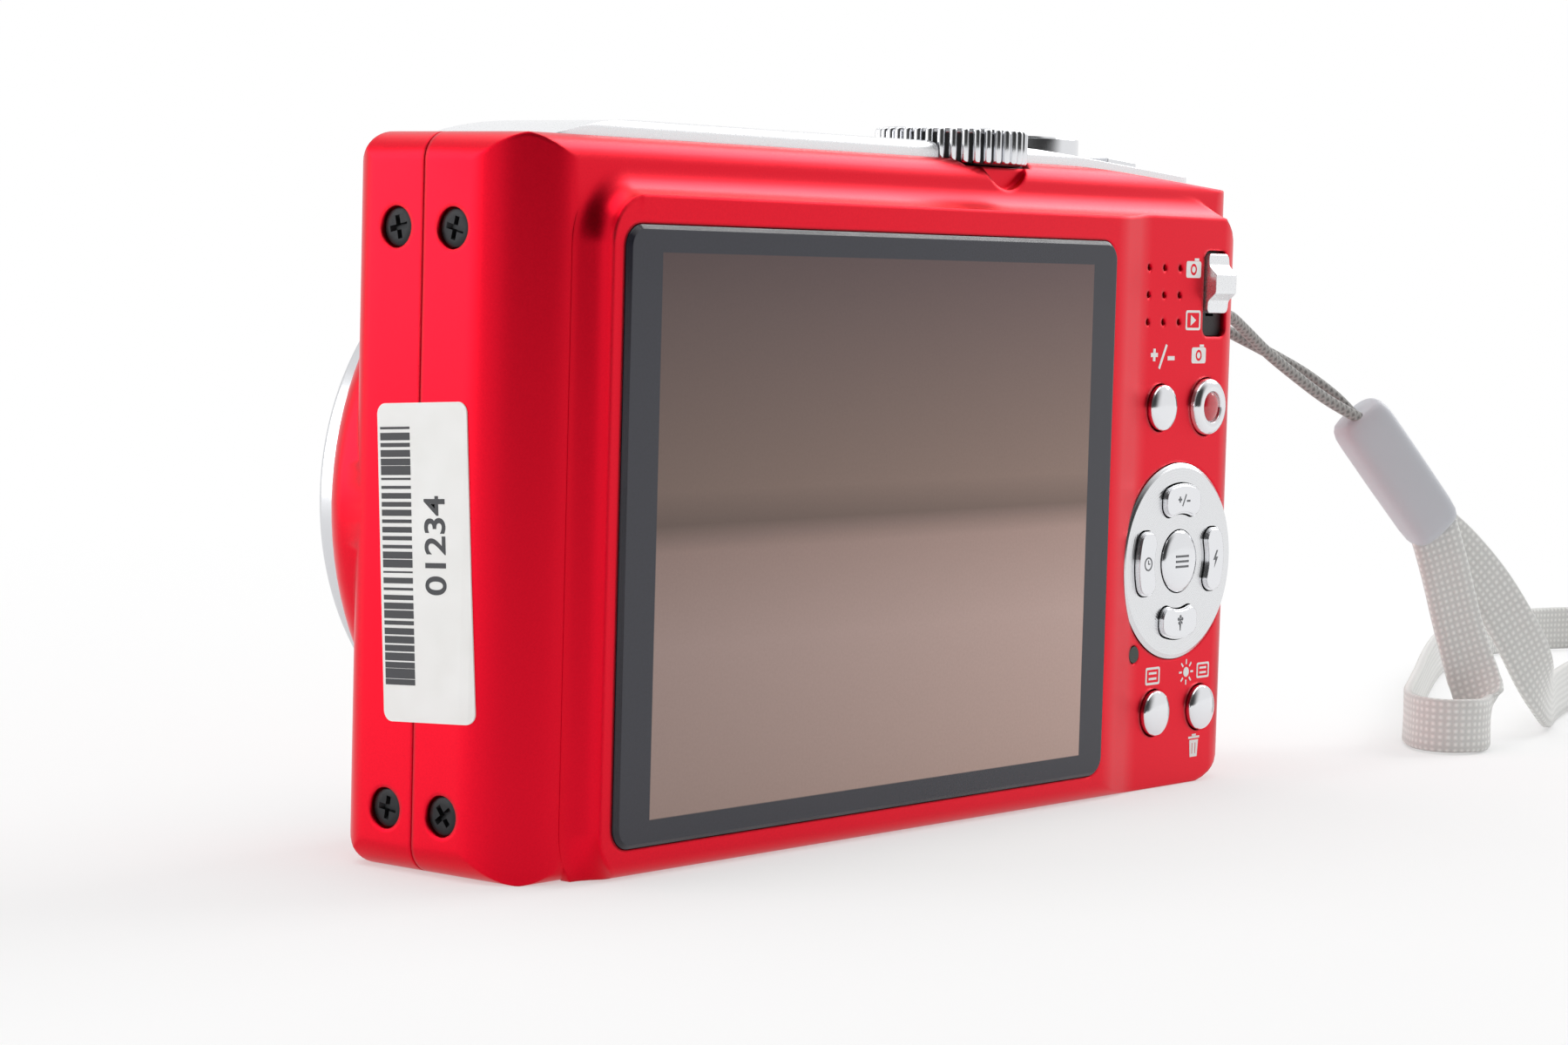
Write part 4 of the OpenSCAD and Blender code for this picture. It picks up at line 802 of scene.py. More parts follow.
def sun_symbol(size):
    """A small sun, for a brighter screen."""
    shapes = [circle(0, 0, size * 0.2)]
    for i in range(8):
        t = math.radians(45 * i)
        x, y = size * 0.42 * math.cos(t), size * 0.42 * math.sin(t)
        shapes.append(box(x, y, size * 0.2, size * 0.08, turn=45 * i))
    return shapes


def bin_symbol(size):
    """A dustbin with its lid."""
    w, h = size * 0.3, size * 0.38
    return [[(-w * 0.8, -h), (w * 0.8, -h), (w, h * 0.7), (-w, h * 0.7)],
            box(-w * 0.35, -h * 0.15, w * 0.16, h * 1.1), box(w * 0.35, -h * 0.15, w * 0.16, h * 1.1),
            box(0, h * 0.95, w * 2.5, h * 0.22), box(0, h * 1.18, w * 0.9, h * 0.2)]


def flash_symbol(size):
    """A lightning stroke."""
    return [[(x * size, y * size) for x, y in (
        (0.08, 0.5), (-0.24, -0.06), (-0.02, -0.06), (-0.12, -0.5), (0.24, 0.12), (0.02, 0.12), (0.22, 0.5))]]


def timer_symbol(size):
    """A clock face with its hands."""
    return [circle(0, 0, size * 0.42), circle(0, 0, size * 0.32),
            box(0, size * 0.11, size * 0.08, size * 0.24), box(size * 0.08, 0, size * 0.2, size * 0.08)]


def flower_symbol(size):
    """A flower, for close pictures."""
    shapes = [circle(0, size * 0.14, size * 0.09, 12)]
    for i in range(5):
        t = math.radians(90 + 72 * i)
        shapes.append(circle(size * 0.2 * math.cos(t), size * (0.14 + 0.2 * math.sin(t)), size * 0.1, 12))
    return shapes + [box(0, -size * 0.26, size * 0.07, size * 0.4)]


def facing(x, y, z, side, turn=0.0):
    """Stands a flat shape up to be seen from the back, from the lens end or from above."""
    across, up = {
        "back": ((-1, 0, 0), (0, 0, 1)), "end": ((0, 1, 0), (0, 0, 1)),
        "top": ((-1, 0, 0), (0, -1, 0))}[side]
    across, up = Vector(across), Vector(up)
    frame = Matrix((across, up, across.cross(up))).transposed().to_4x4()
    return (Matrix.Translation(Vector((x, y, z)) * MM) @ frame @ Matrix.Rotation(math.radians(turn), 4, "Z"))


def joined(name, parts, material):
    """One piece of several meshes, each with its place."""
    form = bmesh.new()
    for mesh, matrix in parts:
        mesh.transform(matrix)
        form.from_mesh(mesh)
        bpy.data.meshes.remove(mesh)
    return from_bmesh(name, form, material, smooth=False)


# ---------------------------------------------------------------- repeated pieces

def shape_object(form):
    """A pattern piece that a tree repeats; it is removed when the tree is baked."""
    return from_bmesh("Pattern piece", form)


def new_tree(name, **sockets):
    """A Geometry Nodes tree with its named inputs: (tree, its inputs)."""
    tree = bpy.data.node_groups.new(name, "GeometryNodeTree")
    tree.interface.new_socket("Geometry", in_out="INPUT", socket_type="NodeSocketGeometry")
    for key, kind in sockets.items():
        tree.interface.new_socket(key.replace("_", " "), in_out="INPUT", socket_type="NodeSocket" + kind)
    tree.interface.new_socket("Finish", in_out="INPUT", socket_type="NodeSocketMaterial")
    tree.interface.new_socket("Geometry", in_out="OUTPUT", socket_type="NodeSocketGeometry")
    return tree, add(tree, "NodeGroupInput").outputs


def close_tree(tree, given, geometry):
    """Ends a tree: its instances are made real and given their finish."""
    real = add(tree, "GeometryNodeRealizeInstances", {"Geometry": geometry})
    painted = add(tree, "GeometryNodeSetMaterial", {"Geometry": real.outputs[0], "Material": given["Finish"]})
    add(tree, "NodeGroupOutput", {"Geometry": painted.outputs[0]})
    return tree


def points_tree():
    """Sets one shape at each point, turned and sized by the point's own values."""
    tree, given = new_tree("Pieces set at points", Shape="Object", Size="Float")
    shape = add(tree, "GeometryNodeObjectInfo", {"Object": given["Shape"]})
    turn = add(tree, "GeometryNodeInputNamedAttribute", {"Name": "turn"}, data_type="FLOAT_VECTOR")
    size = add(tree, "GeometryNodeInputNamedAttribute", {"Name": "size"}, data_type="FLOAT_VECTOR")
    whole = add(tree, "ShaderNodeVectorMath", {0: size.outputs["Attribute"], "Scale": given["Size"]},
                operation="SCALE")
    euler = add(tree, "FunctionNodeEulerToRotation", {"Euler": turn.outputs["Attribute"]})
    placed = add(tree, "GeometryNodeInstanceOnPoints", {
        "Points": given["Geometry"], "Instance": shape.outputs["Geometry"],
        "Rotation": euler.outputs[0], "Scale": whole.outputs[0]})
    return close_tree(tree, given, placed.outputs[0])


def ring_tree():
    """Sets one shape round an upright axis."""
    tree, given = new_tree("Ribs round an axis", Shape="Object", Count="Int", Radius="Float", Middle="Vector")
    shape = add(tree, "GeometryNodeObjectInfo", {"Object": given["Shape"]})
    ring = add(tree, "GeometryNodeMeshCircle", {"Vertices": given["Count"], "Radius": given["Radius"]})
    index = add(tree, "GeometryNodeInputIndex")
    step = add(tree, "ShaderNodeMath", {0: 2 * math.pi, 1: given["Count"]}, operation="DIVIDE")
    angle = add(tree, "ShaderNodeMath", {0: index.outputs[0], 1: step.outputs[0]}, operation="MULTIPLY")
    euler = add(tree, "ShaderNodeCombineXYZ", {"Z": angle.outputs[0]})
    turn = add(tree, "FunctionNodeEulerToRotation", {"Euler": euler.outputs[0]})
    placed = add(tree, "GeometryNodeInstanceOnPoints", {
        "Points": ring.outputs["Mesh"], "Instance": shape.outputs["Geometry"], "Rotation": turn.outputs[0]})
    moved = add(tree, "GeometryNodeTransform", {
        "Geometry": placed.outputs[0], "Translation": given["Middle"]})
    return close_tree(tree, given, moved.outputs[0])


def bars_tree():
    """A column of printed bars whose widths and gaps vary at random, from a fixed seed."""
    tree, given = new_tree("Printed bars", Count="Int", Length="Float", Width="Float", Thinnest="Float",
                           Thickest="Float", Seed="Int")
    last = add(tree, "ShaderNodeMath", {0: given["Count"], 1: 1.0}, operation="SUBTRACT")
    pitch = add(tree, "ShaderNodeMath", {0: given["Length"], 1: last.outputs[0]}, operation="DIVIDE")
    step = add(tree, "ShaderNodeCombineXYZ", {"Y": pitch.outputs[0]})
    line = add(tree, "GeometryNodeMeshLine", {"Count": given["Count"], "Offset": step.outputs[0]})
    thick = add(tree, "FunctionNodeRandomValue", {
        "Min": given["Thinnest"], "Max": given["Thickest"], "Seed": given["Seed"]}, data_type="FLOAT")
    size = add(tree, "ShaderNodeCombineXYZ", {"X": given["Width"], "Y": thick.outputs[1], "Z": 0.02 * MM})
    bar = add(tree, "GeometryNodeMeshCube", {"Size": (1, 1, 1)})
    placed = add(tree, "GeometryNodeInstanceOnPoints", {
        "Points": line.outputs[0], "Instance": bar.outputs[0], "Scale": size.outputs[0]})
    return close_tree(tree, given, placed.outputs[0])


def thread_tree():
    """A screw thread: a small ridge led along a spiral."""
    tree, given = new_tree("Screw thread", Turns="Float", Pitch="Float", Radius="Float", Ridge="Float",
                           Middle="Vector")
    height = add(tree, "ShaderNodeMath", {0: given["Turns"], 1: given["Pitch"]}, operation="MULTIPLY")
    spiral = add(tree, "GeometryNodeCurveSpiral", {
        "Resolution": 40, "Rotations": given["Turns"], "Start Radius": given["Radius"],
        "End Radius": given["Radius"], "Height": height.outputs[0]})
    section = add(tree, "GeometryNodeCurvePrimitiveCircle", {"Resolution": 6, "Radius": given["Ridge"]},
                  mode="RADIUS")
    ridge = add(tree, "GeometryNodeCurveToMesh", {
        "Curve": spiral.outputs[0], "Profile Curve": section.outputs[0], "Fill Caps": True})
    moved = add(tree, "GeometryNodeTransform", {"Geometry": ridge.outputs[0], "Translation": given["Middle"]})
    return close_tree(tree, given, moved.outputs[0])


def set_at(name, form, spots, material):
    """A shape set at spots, each a (place in mm, turn in degrees, size)."""
    tree = bpy.data.node_groups.get("Pieces set at points") or points_tree()
    shape = shape_object(form)
    points = bpy.data.meshes.new(name)
    points.from_pydata([Vector(spot[0]) * MM for spot in spots], [], [])
    for key, values in (("turn", [math.radians(v) for spot in spots for v in spot[1]]),
                        ("size", [v for spot in spots for v in spot[2]])):
        points.attributes.new(key, "FLOAT_VECTOR", "POINT").data.foreach_set("vector", values)
    piece = baked(name, tree, {"Shape": shape, "Size": 1.0, "Finish": material}, points)
    bpy.data.objects.remove(shape)
    return piece


def block(w, d, h, corner=0.1, low=(0, 0, 0)):
    """A bmesh of a box about the origin, its edges bevelled. Millimetres."""
    form = bmesh.new()
    bmesh.ops.create_cube(form, size=1)
    for vert in form.verts:
        vert.co = (Vector((vert.co.x * w, vert.co.y * d, vert.co.z * h)) + Vector(low)) * MM
    if corner:
        bmesh.ops.bevel(form, geom=form.edges[:], offset=corner * MM, segments=2, affect="EDGES", profile=0.5)
    return form


def four_corners(low, high, inset):
    """The corners of a rectangle, moved inwards by the inset."""
    return [(x, y) for x in (low[0] + inset, high[0] - inset) for y in (low[1] + inset, high[1] - inset)]


def lathed(name, profile, base, axis, segments, material, crisp):
    """A turned piece that keeps the edges sharper than the crisp angle."""
    piece = from_bmesh(name, turned(profile, base, axis, segments), material)
    keep_edges(piece, crisp)
    return piece


def screw_form(d, shank):
    """A bmesh of a small screw with a tapered cross recess. Its face is at height 0."""
    r = d / 2
    form = turned([(0, -0.6 - shank), (d * 0.25, -0.6 - shank), (d * 0.25, -0.6), (r, -0.6), (r, -0.16),
                   (r - 0.05, -0.06), (r - 0.16, 0)], (0, 0, 0), (0, 0, 1), 48)
    rim = [v for v in form.verts if abs(v.co.z) < 1e-9]
    arm, half = 0.30 * d, 0.075 * d
    cross = [(arm, -half), (arm, half), (half, half), (half, arm), (-half, arm), (-half, half),
             (-arm, half), (-arm, -half), (-half, -half), (-half, -arm), (half, -arm), (half, -half)]
    upper = [form.verts.new((x * MM, y * MM, 0)) for x, y in cross]
    lower = [form.verts.new((x * 0.72 * MM, y * 0.72 * MM, -0.42 * MM)) for x, y in cross]
    rim.sort(key=lambda v: math.atan2(v.co.y, v.co.x))
    edges = []
    for ring in (rim, upper):
        for a, b in zip(ring, ring[1:] + ring[:1]):
            edges.append(form.edges.get((a, b)) or form.edges.new((a, b)))
    bmesh.ops.triangle_fill(form, use_beauty=True, edges=edges)
    for i in range(12):
        j = (i + 1) % 12
        form.faces.new((upper[i], upper[j], lower[j], lower[i]))
    form.faces.new(lower)
    return form


# ---------------------------------------------------------------- the camera's pieces

class CAMERA_OT_body(bpy.types.Operator):
    """Finishes the shells, the doors and the top cover"""
    bl_idname = "camera_model.body"
    bl_label = "Body"

    def execute(self, context):
        red = anodised_red()
        dress(red, "front_shell", "rear_shell", "battery_door", "socket_door")
        dress(satin_silver(), "top_cover")
        dress(black_plastic(), "door_latch", "microphones")
        soften("front_shell", "rear_shell", "battery_door", "socket_door", "top_cover")
        return {"FINISHED"}


class CAMERA_OT_screen(bpy.types.Operator):
    """Finishes the cover glass and the panel behind it"""
    bl_idname = "camera_model.screen"
    bl_label = "Screen"

    def execute(self, context):
        dress(screen_glass(), "screen_window")
        dress(surface("Liquid crystal panel, layered", "#3A3330", 0.3, 0.002, 0.25), "screen_panel")
        soften("screen_window")
        return {"FINISHED"}


class CAMERA_OT_screws(bpy.types.Operator):
    """Sets the cross-head screws of the lens end and of the base"""
    bl_idname = "camera_model.screws"
    bl_label = "Screws"

    def execute(self, context):
        # Case-hardened steel, blackened with oil: near black, with a dull sheen on the worn rims
        steel = surface("Steel, black oxide", "#2A2B2D", 0.2, 0.006, 0.42, Metallic=0.75)
        sizes = context.scene.camera_sizes
        low, high = node_box("side_screws")
        spots = [((high.x, y, z), (90, turn, 90), (1, 1, 1)) for (y, z), turn in zip(
            four_corners(low.yz, high.yz, sizes.side_screw / 2), (8, -12, 52, 14))]
        side = set_at("side_screw_heads", screw_form(sizes.side_screw, 2.2), spots, steel)
        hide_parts("side_screws")
        low, high = node_box("base_screws")
        spots = [((x, y, low.z), (180, 0, turn), (1, 1, 1)) for (x, y), turn in zip(
            four_corners(low.xy, high.xy, sizes.base_screw / 2), (12, 70, -20, 40))]
        base = set_at("base_screw_heads", screw_form(sizes.base_screw, 1.6), spots, steel)
        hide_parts("base_screws")
        for piece in (side, base):
            keep_edges(piece, 30)
            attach(piece, "camera")
        return {"FINISHED"}


class CAMERA_OT_label(bpy.types.Operator):
    """Finishes the paper label, with plain bars and figures"""
    bl_idname = "camera_model.label"
    bl_label = "Label"

    def execute(self, context):
        dress(label_paper(), "label")
        ink = surface("Printed ink, grey-black", "#3B3C40", 0.15, 0.002, 0.5, vary=0.25)
        middle = middle_of("label")
        high = node_box("label")[1]
        face, lean_turn, width = high.x + 0.01, 3.4, 9.9
        at = Vector((face, -1.3, middle.z))
        turn = Matrix.Rotation(math.radians(lean_turn), 3, "X")
        frame_turn = facing(0, 0, 0, "end")

        def spot(u, v):
            return at + turn @ Vector((0, u, v))

        bars = baked("label_bars", bars_tree(), {
            "Count": 31, "Length": 20.4 * MM, "Width": 3.3 * MM, "Thinnest": 0.1 * MM,
            "Thickest": 0.8 * MM, "Seed": 5, "Finish": ink})
        start = spot(-width / 2 + 1.95, -9.6)
        bars.data.transform(Matrix.Translation(start * MM) @ turn.to_4x4() @ frame_turn)
        text = figures("01234", 2.3, 0.02, bold=0.05)
        text.transform(Matrix.Translation(spot(width / 2 - 3.6, 1.4) * MM) @ turn.to_4x4() @ frame_turn
                       @ Matrix.Rotation(math.radians(90), 4, "Z"))
        number = joined("label_figures", [(text, Matrix.Identity(4))], ink)
        for piece in (bars, number):
            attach(piece, "camera")
        return {"FINISHED"}


class CAMERA_OT_dial(bpy.types.Operator):
    """Makes the mode dial: a dark core, bright ribs and a lathe-turned top"""
    bl_idname = "camera_model.dial"
    bl_label = "Mode dial"

    def execute(self, context):
        low, high = node_box("mode_dial")
        middle, r, top = (low + high) / 2, (high.x - low.x) / 2, high.z
        foot = top - 3.3
        base = (middle.x, middle.y, 0)
        core = lathed("mode_dial_core", [
            (0, low.z), (1.5, low.z), (1.5, foot), (r - 0.75, foot), (r - 0.6, foot + 0.15),
            (r - 0.6, top - 0.5), (r - 0.9, top - 0.35), (0, top - 0.35)], base, (0, 0, 1), 96,
            surface("ABS, moulded black, dial core", "#101114", 0.2, 0.008, 0.45), 30)
        cap = lathed("mode_dial_cap", [
            (0, top - 0.6), (r - 0.7, top - 0.6), (r - 0.55, top - 0.45), (r - 0.55, top - 0.12),
            (r - 0.68, top - 0.02), (r - 0.85, top), (r - 1.5, top), (r - 1.62, top - 0.06), (r - 1.74, top),
            (0, top)], base, (0, 0, 1), 96,
            spun("Aluminium, lathe turned", "#DADBDE", (middle.x, middle.y, top), "z", 0.22, 0.26), 30)
        ribs = baked("mode_dial_ribs", ring_tree(), {
            "Shape": shape_object(self.rib(top - foot - 0.22)), "Count": context.scene.camera_sizes.dial_ribs,
            "Radius": (r - 0.62) * MM, "Middle": Vector((middle.x, middle.y, foot + 0.12)) * MM,
            "Finish": chrome("Chrome on ABS, dial ribs", 0.12)})
        for leftover in [o for o in bpy.data.objects if o.name.startswith("Pattern piece")]:
            bpy.data.objects.remove(leftover)
        ribs.data.polygons.foreach_set("use_smooth", [True] * len(ribs.data.polygons))
        marks = []
        signs = [figures("1", 1.3), figures("2", 1.3)] + [cut_out(shape) for shape in (
            camera_symbol(1.9), flower_symbol(1.9), sun_symbol(1.9), timer_symbol(1.9), screen_symbol(1.5),
            [circle(0, 0, 0.75), circle(0, 0, 0.45)])]
        for i, sign in enumerate(signs):
            t = math.radians(90 + 45 * i)
            x, y = 4.1 * math.cos(t), 4.1 * math.sin(t)
            marks.append((sign, facing(middle.x - x, middle.y - y, top, "top", 45 * i)))
        ink = surface("Printed ink, dark grey", "#33353A", 0.15, 0.002, 0.5)
        print_on = joined("mode_dial_marks", marks, ink)
        for piece in (core, cap, ribs, print_on):
            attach(piece, "dial")
        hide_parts("mode_dial")
        return {"FINISHED"}

    def rib(self, height):
        """One rib about the origin, its rounded face towards +X."""
        form = bmesh.new()
        rings = []
        for z, size in ((0, 0.45), (0.12, 0.8), (0.3, 1), (height - 0.35, 1), (height - 0.14, 0.8),
                        (height, 0.4)):
            ring = []
            for k in range(9):
                t = math.radians(-90 + 22.5 * k)
                ring.append(form.verts.new((
                    (0.62 * math.cos(t) ** 0.7 * (0.55 + 0.45 * size) if math.cos(t) > 1e-6 else 0) * MM,
                    0.4 * math.sin(t) * (0.7 + 0.3 * size) * MM, z * MM)))
            for y in (0.4, -0.4):
                ring.append(form.verts.new((-0.3 * MM, y * (0.7 + 0.3 * size) * MM, z * MM)))
            rings.append(ring)
        skinned(form, rings)
        return form


class CAMERA_OT_top_controls(bpy.types.Operator):
    """Finishes the zoom lever, the shutter button and the power switch"""
    bl_idname = "camera_model.top_controls"
    bl_label = "Top controls"

    def execute(self, context):
        bright = chrome()
        dress(bright, "zoom_lever", "power_switch")
        middle = middle_of("shutter_button")
        dress(spun("Aluminium, lathe turned, button", "#D9DADD", middle, "z", 0.2, 0.2), "shutter_button")
        soften("zoom_lever", "shutter_button", "power_switch")
        return {"FINISHED"}


class CAMERA_OT_back_controls(bpy.types.Operator):
    """Finishes the keys, the cursor plate and the switch, and makes the ringed key"""
    bl_idname = "camera_model.back_controls"
    bl_label = "Back controls"

    def execute(self, context):
        bright = chrome("Chrome on ABS, keys", 0.11)
        keys = ("exposure_key", "display_key", "erase_key", "menu_key", "cursor_up", "cursor_down",
                "cursor_left", "cursor_right")
        dress(bright, *keys)
        middle = middle_of("cursor_plate")
        dress(spun("Aluminium, lathe turned, plate", "#E2E3E5", middle, "y", 0.25, 0.22), "cursor_plate")
        dress(satin_silver("ABS, silver painted"), "play_switch")
        dress(black_plastic(), "switch_plate", "speaker")
        dress(clear_plastic("Acrylic, smoked green", "#1E3A2A", 0.2, 0.5), "status_light")
        soften(*keys, "cursor_plate", "play_switch", "switch_plate")
        self.ringed_key(bright)
        self.marks()
        return {"FINISHED"}

    def ringed_key(self, bright):
        low, high = node_box("quick_key")
        middle = (low + high) / 2
        face, r = high.y, bpy.context.scene.camera_sizes.quick_key_width / 2
        base = (middle.x, 0, middle.z)
        ring = lathed("quick_key_ring", [
            (0, low.y), (1, low.y), (1, low.y + 0.8), (r + 0.6, low.y + 0.8), (r + 0.6, low.y + 1.6),
            (r, low.y + 1.6), (r, face - 0.55), (r - 0.12, face - 0.28), (r - 0.45, face - 0.06),
            (r - 0.85, face), (r - 1.2, face - 0.1), (r - 1.3, face - 0.35), (0, face - 0.35)],
            base, (0, 1, 0), 72, bright, 40)
        # Acrylic paint under clear lacquer
        lacquer = surface("Lacquer, red gloss", "#C8102A", 0.3, 0.002, 0.15, Coat_Weight=0.8,
                          Coat_Roughness=0.05)
        jewel = lathed("quick_key_centre", [
            (0, face - 0.5), (r - 1.35, face - 0.5), (r - 1.35, face - 0.3), (r - 1.6, face - 0.14),
            (r - 2.1, face - 0.05), (0, face - 0.02)], base, (0, 1, 0), 48, lacquer, 40)
        for piece in (ring, jewel):
            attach(piece, "quick")
        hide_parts("quick_key")

    def marks(self):
        ink = white_ink()
        level = node_box("status_light")[1].y - 0.1 + 0.005
        # Each symbol, with its place across and up the back
        signs = (
            (light_symbol(2.0), -36.6, 41.8), (camera_symbol(2.5), -42.9, 41.9),
            (camera_symbol(2.6), -41.5, 50.2), (play_symbol(2.6), -41.7, 45.3),
            (screen_symbol(1.9), -36.7, 11.0), (sun_symbol(2.4), -42.6, 11.0),
            (screen_symbol(1.7), -45.6, 11.0), (bin_symbol(2.6), -44.4, 3.5))
        marks = joined("back_marks", [
            (cut_out(sign), facing(x, level, z, "back")) for sign, x, z in signs], ink)
        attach(marks, "camera")
        # Grey symbols on the four keys of the cursor plate, and three lines on the key in its middle
        grey = surface("Printed ink, mid grey", "#6A6C70", 0.15, 0.002, 0.45)
        for node, body, sign in (
                ("cursor_up", "cursor_up_body", light_symbol(1.0)),
                ("cursor_down", "cursor_down_body", flower_symbol(1.7)),
                ("cursor_left", "cursor_left_body", timer_symbol(1.6)),
                ("cursor_right", "cursor_right_body", flash_symbol(1.7)),
                ("menu_key", "menu", [box(0, y, 2.2, 0.22) for y in (0.5, 0, -0.5)])):
            low, high = node_box(node)
            middle = (low + high) / 2
            spot = facing(middle.x, high.y, middle.z, "back")
            piece = joined(node + "_mark", [(cut_out(sign, 0.03), spot)], grey)
            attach(piece, body)


class CAMERA_OT_lens(bpy.types.Operator):
    """Finishes the lens ring, the barrels, the blades and the glass"""
    bl_idname = "camera_model.lens"
    bl_label = "Lens"

    def execute(self, context):
        middle = middle_of("lens_ring")
        centre = (middle.x, 0, middle.z)
        dress(spun("Aluminium, lathe turned, ring", "#D6D7DA", centre, "y", 0.3, 0.24), "lens_ring")
        dress(spun("Aluminium, lathe turned, barrel", "#C9CACD", centre, "y", 0.3, 0.28),
              "barrel_outer", "barrel_middle")
        black = spun("Aluminium, black anodised", "#141518", centre, "y", 0.5, 0.38, metallic=0.5)
        dress(black, "barrel_inner")
        blades = ("blade_upper_inner", "blade_upper_outer", "blade_lower_inner", "blade_lower_outer")
        # Spring steel, blackened
        steel = surface("Steel, blackened satin", "#1C1D20", 0.1, 0.003, 0.34, Metallic=0.6,
                        stretch=(1, 1, 12))
        dress(steel, *blades)
        # Optical glass with a purple-green coating over a black bore
        dress(surface("Optical glass, coated", "#0B0A14", 4.0, 0.0005, 0.03, spread=0.01, vary=0.4,
                      Coat_Weight=1.0, Coat_Roughness=0.02, Coat_Tint=linear("#8F7FD8")), "front_glass")
        dress(clear_plastic("Acrylic, clear", "#F2F4F4", 0.08), "flash_window")
        dress(clear_plastic("Acrylic, amber", "#E06A1C", 0.1, 0.6), "focus_lamp")
        dress(surface("Aluminium, bright reflector", "#E8E8EA", 0.4, 0.003, 0.12, Metallic=1.0), "flash_tube")
        soften("lens_ring", "barrel_outer", "barrel_middle", "barrel_inner", "front_glass", "focus_lamp",
               *blades)
        self.diffuser()
        return {"FINISHED"}

    def diffuser(self):
        """Upright prisms moulded in the back of the flash window"""
        low, high = node_box("flash_window")
        count = 18
        step = (high.x - low.x - 1.2) / count
        form = bmesh.new()
        w, h = step / 2, (high.z - low.z) / 2 - 0.7
        points = [(-w, 0), (w, 0), (0, 0.3)]
        ends = [[form.verts.new((x * MM, y * MM, z * MM)) for x, y in points] for z in (-h, h)]
        skinned(form, ends)
        spots = [((low.x + 0.6 + step * (i + 0.5), low.y + 0.25, (low.z + high.z) / 2), (0, 0, 0), (1, 1, 1))
                 for i in range(count)]
        prisms = set_at("flash_prisms", form, spots, surface("Acrylic, frosted", "#E9ECEC", 0.2, 0.004, 0.25))
        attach(prisms, "camera")


class CAMERA_OT_fittings(bpy.types.Operator):
    """Finishes the tripod socket with its thread, the eyelet and the sockets"""
    bl_idname = "camera_model.fittings"
    bl_label = "Fittings"

    def execute(self, context):
        # Stainless steel: grey, with turning marks
        steel = surface("Stainless steel, turned", "#B9BABC", 0.3, 0.004, 0.28, Metallic=1.0,
                        stretch=(1, 1, 6))
        dress(steel, "tripod_socket")
        dress(surface("Stainless steel, pressed and tumbled", "#C4C5C7", 0.4, 0.006, 0.24, Metallic=1.0),
              "strap_eyelet")
        dress(surface("Nylon, moulded black", "#17181A", 0.25, 0.008, 0.5), "av_sockets")
        soften("tripod_socket", "strap_eyelet")
        # A quarter-inch thread has 20 turns to the inch
        thread = baked("tripod_thread", thread_tree(), {
            "Turns": 4.0, "Pitch": 1.27 * MM, "Radius": 3.12 * MM, "Ridge": 0.34 * MM,
            "Middle": Vector((0, 0, 0.25)) * MM, "Finish": steel})
        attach(thread, "camera")
        return {"FINISHED"}


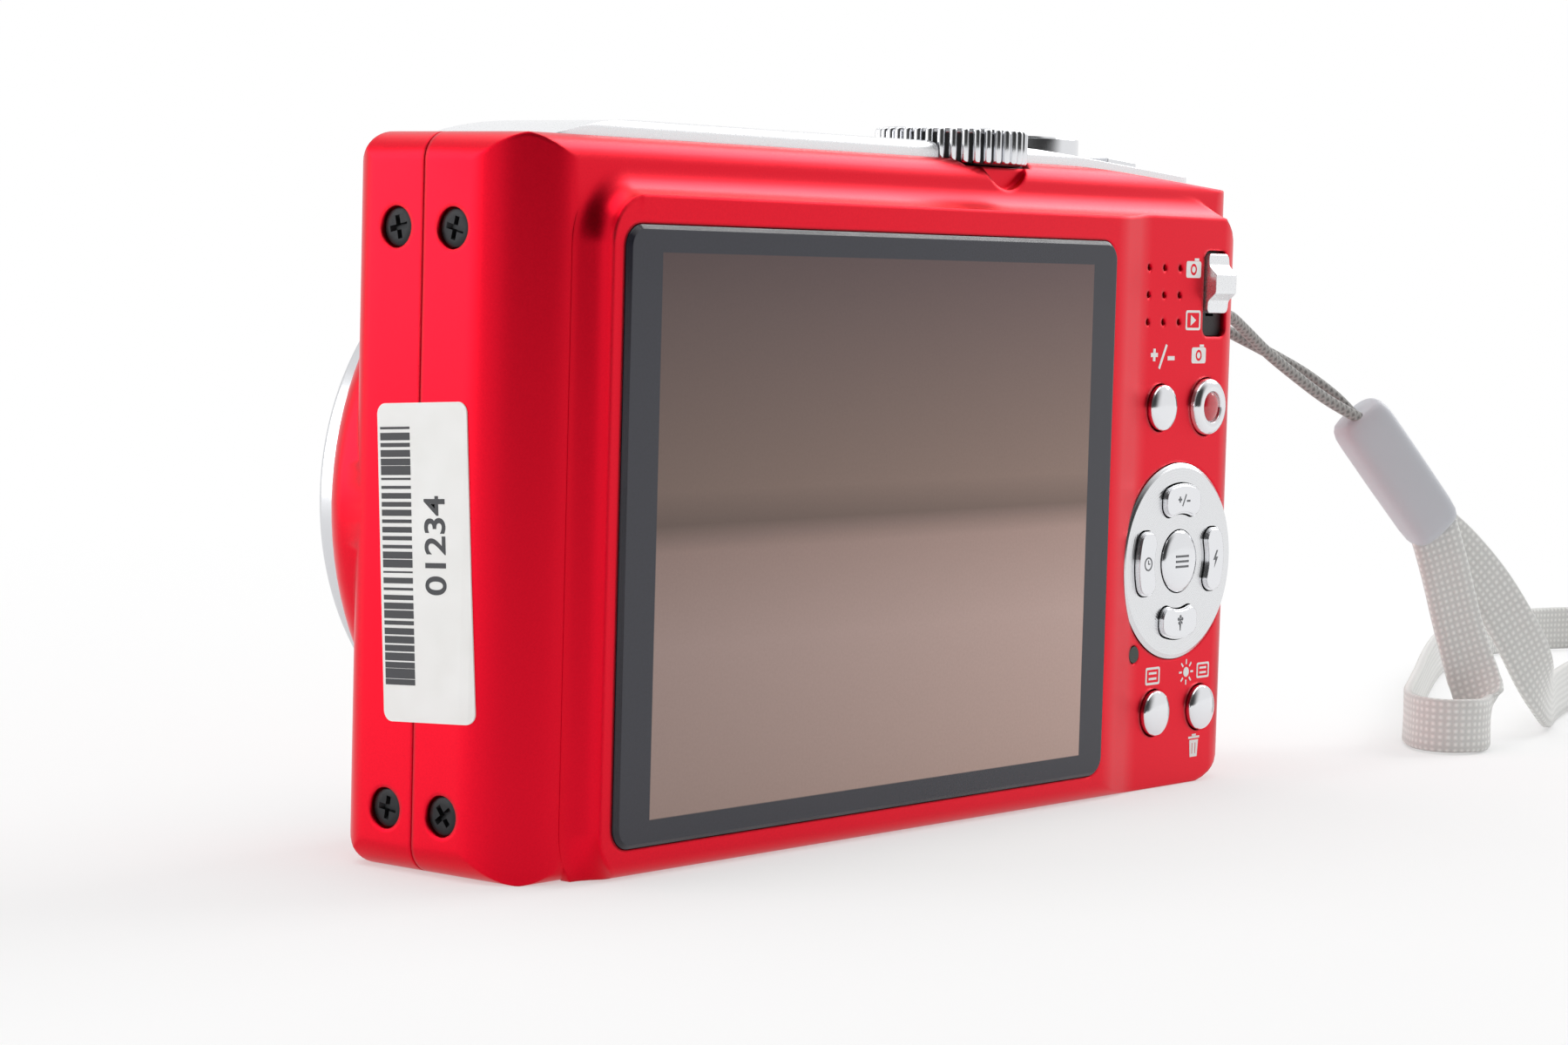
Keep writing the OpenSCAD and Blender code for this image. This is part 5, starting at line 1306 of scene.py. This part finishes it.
class CAMERA_OT_inside(bpy.types.Operator):
    """Finishes the pieces inside, and the contacts of the battery and of the card"""
    bl_idname = "camera_model.inside"
    bl_label = "Inside"

    def execute(self, context):
        for nodes, values, metallic in (
                (("chassis",), ("Steel sheet, pressed", "#9FA1A4", 0.5, 0.004, 0.32), 0.9),
                (("main_board", "key_board"),
                 ("Glass epoxy board, green lacquer", "#1F4A33", 0.6, 0.006, 0.35), 0),
                (("lens_housing", "battery_case"),
                 ("Polycarbonate, glass filled black", "#1A1B1D", 0.3, 0.012, 0.55), 0),
                (("image_sensor",),
                 ("Image sensor, blue-violet", "#2A2A5C", 0.8, 0.001, 0.12, 0.05, 0.25), 0.4),
                (("zoom_motor",), ("Steel, zinc plated", "#8E9094", 0.4, 0.004, 0.3), 0.95),
                (("flash_capacitor",), ("Heat-shrink sleeve, black", "#1E1E22", 0.6, 0.006, 0.3), 0),
                (("battery",), ("Polycarbonate, dark grey wrap", "#3A3C40", 0.3, 0.008, 0.42), 0),
                (("memory_card",), ("ABS, card blue", "#20407A", 0.3, 0.008, 0.45), 0)):
            dress(surface(*values, Metallic=metallic), *nodes)
        self.contacts()
        return {"FINISHED"}

    def contacts(self):
        """Gold-plated pads on the battery's foot and on the card's face"""
        gold = surface("Gold plate on copper", "#D9B566", 0.3, 0.002, 0.22, Metallic=1.0)
        low, high = node_box("battery")
        y = (low.y + high.y) / 2
        spots = [((low.x + 7 + 5.2 * i, y, low.z - 0.02), (0, 0, 0), (1, 1, 1)) for i in range(3)]
        battery = set_at("battery_contacts", block(3.2, 4.2, 0.08, 0), spots, gold)
        low, high = node_box("memory_card")
        spots = [((low.x + 3 + 2.25 * i, high.y + 0.01, low.z + 27.5), (0, 0, 0), (1, 1, 1))
                 for i in range(9)]
        card = set_at("card_contacts", block(1.5, 0.06, 5, 0), spots, gold)
        for piece in (battery, card):
            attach(piece, "camera")


class CAMERA_PT_pieces(bpy.types.Panel):
    """Lists the sizes, the colours and the pieces"""
    bl_idname = "CAMERA_PT_pieces"
    bl_label = "Compact camera"
    bl_space_type = "VIEW_3D"
    bl_region_type = "UI"
    bl_category = "Camera"

    def draw(self, context):
        layout = self.layout
        for group in (context.scene.camera_sizes, context.scene.camera_colours):
            for name in group.__annotations__:
                layout.prop(group, name)
        for operator in OPERATORS:
            layout.operator(operator.bl_idname)


OPERATORS = (
    CAMERA_OT_stage, CAMERA_OT_strap, CAMERA_OT_body, CAMERA_OT_screen, CAMERA_OT_screws, CAMERA_OT_label,
    CAMERA_OT_dial, CAMERA_OT_top_controls, CAMERA_OT_back_controls, CAMERA_OT_lens, CAMERA_OT_fittings,
    CAMERA_OT_inside)
CLASSES = (CameraSizes, CameraColours) + OPERATORS + (CAMERA_PT_pieces,)


def register():
    for item in CLASSES:
        bpy.utils.register_class(item)
    bpy.types.Scene.camera_sizes = bpy.props.PointerProperty(type=CameraSizes)
    bpy.types.Scene.camera_colours = bpy.props.PointerProperty(type=CameraColours)


def unregister():
    del bpy.types.Scene.camera_sizes
    del bpy.types.Scene.camera_colours
    for item in reversed(CLASSES):
        bpy.utils.unregister_class(item)


def main():
    register()
    for operator in OPERATORS:
        getattr(bpy.ops.camera_model, operator.bl_idname.split(".")[1])()


if __name__ == "__main__":
    main()
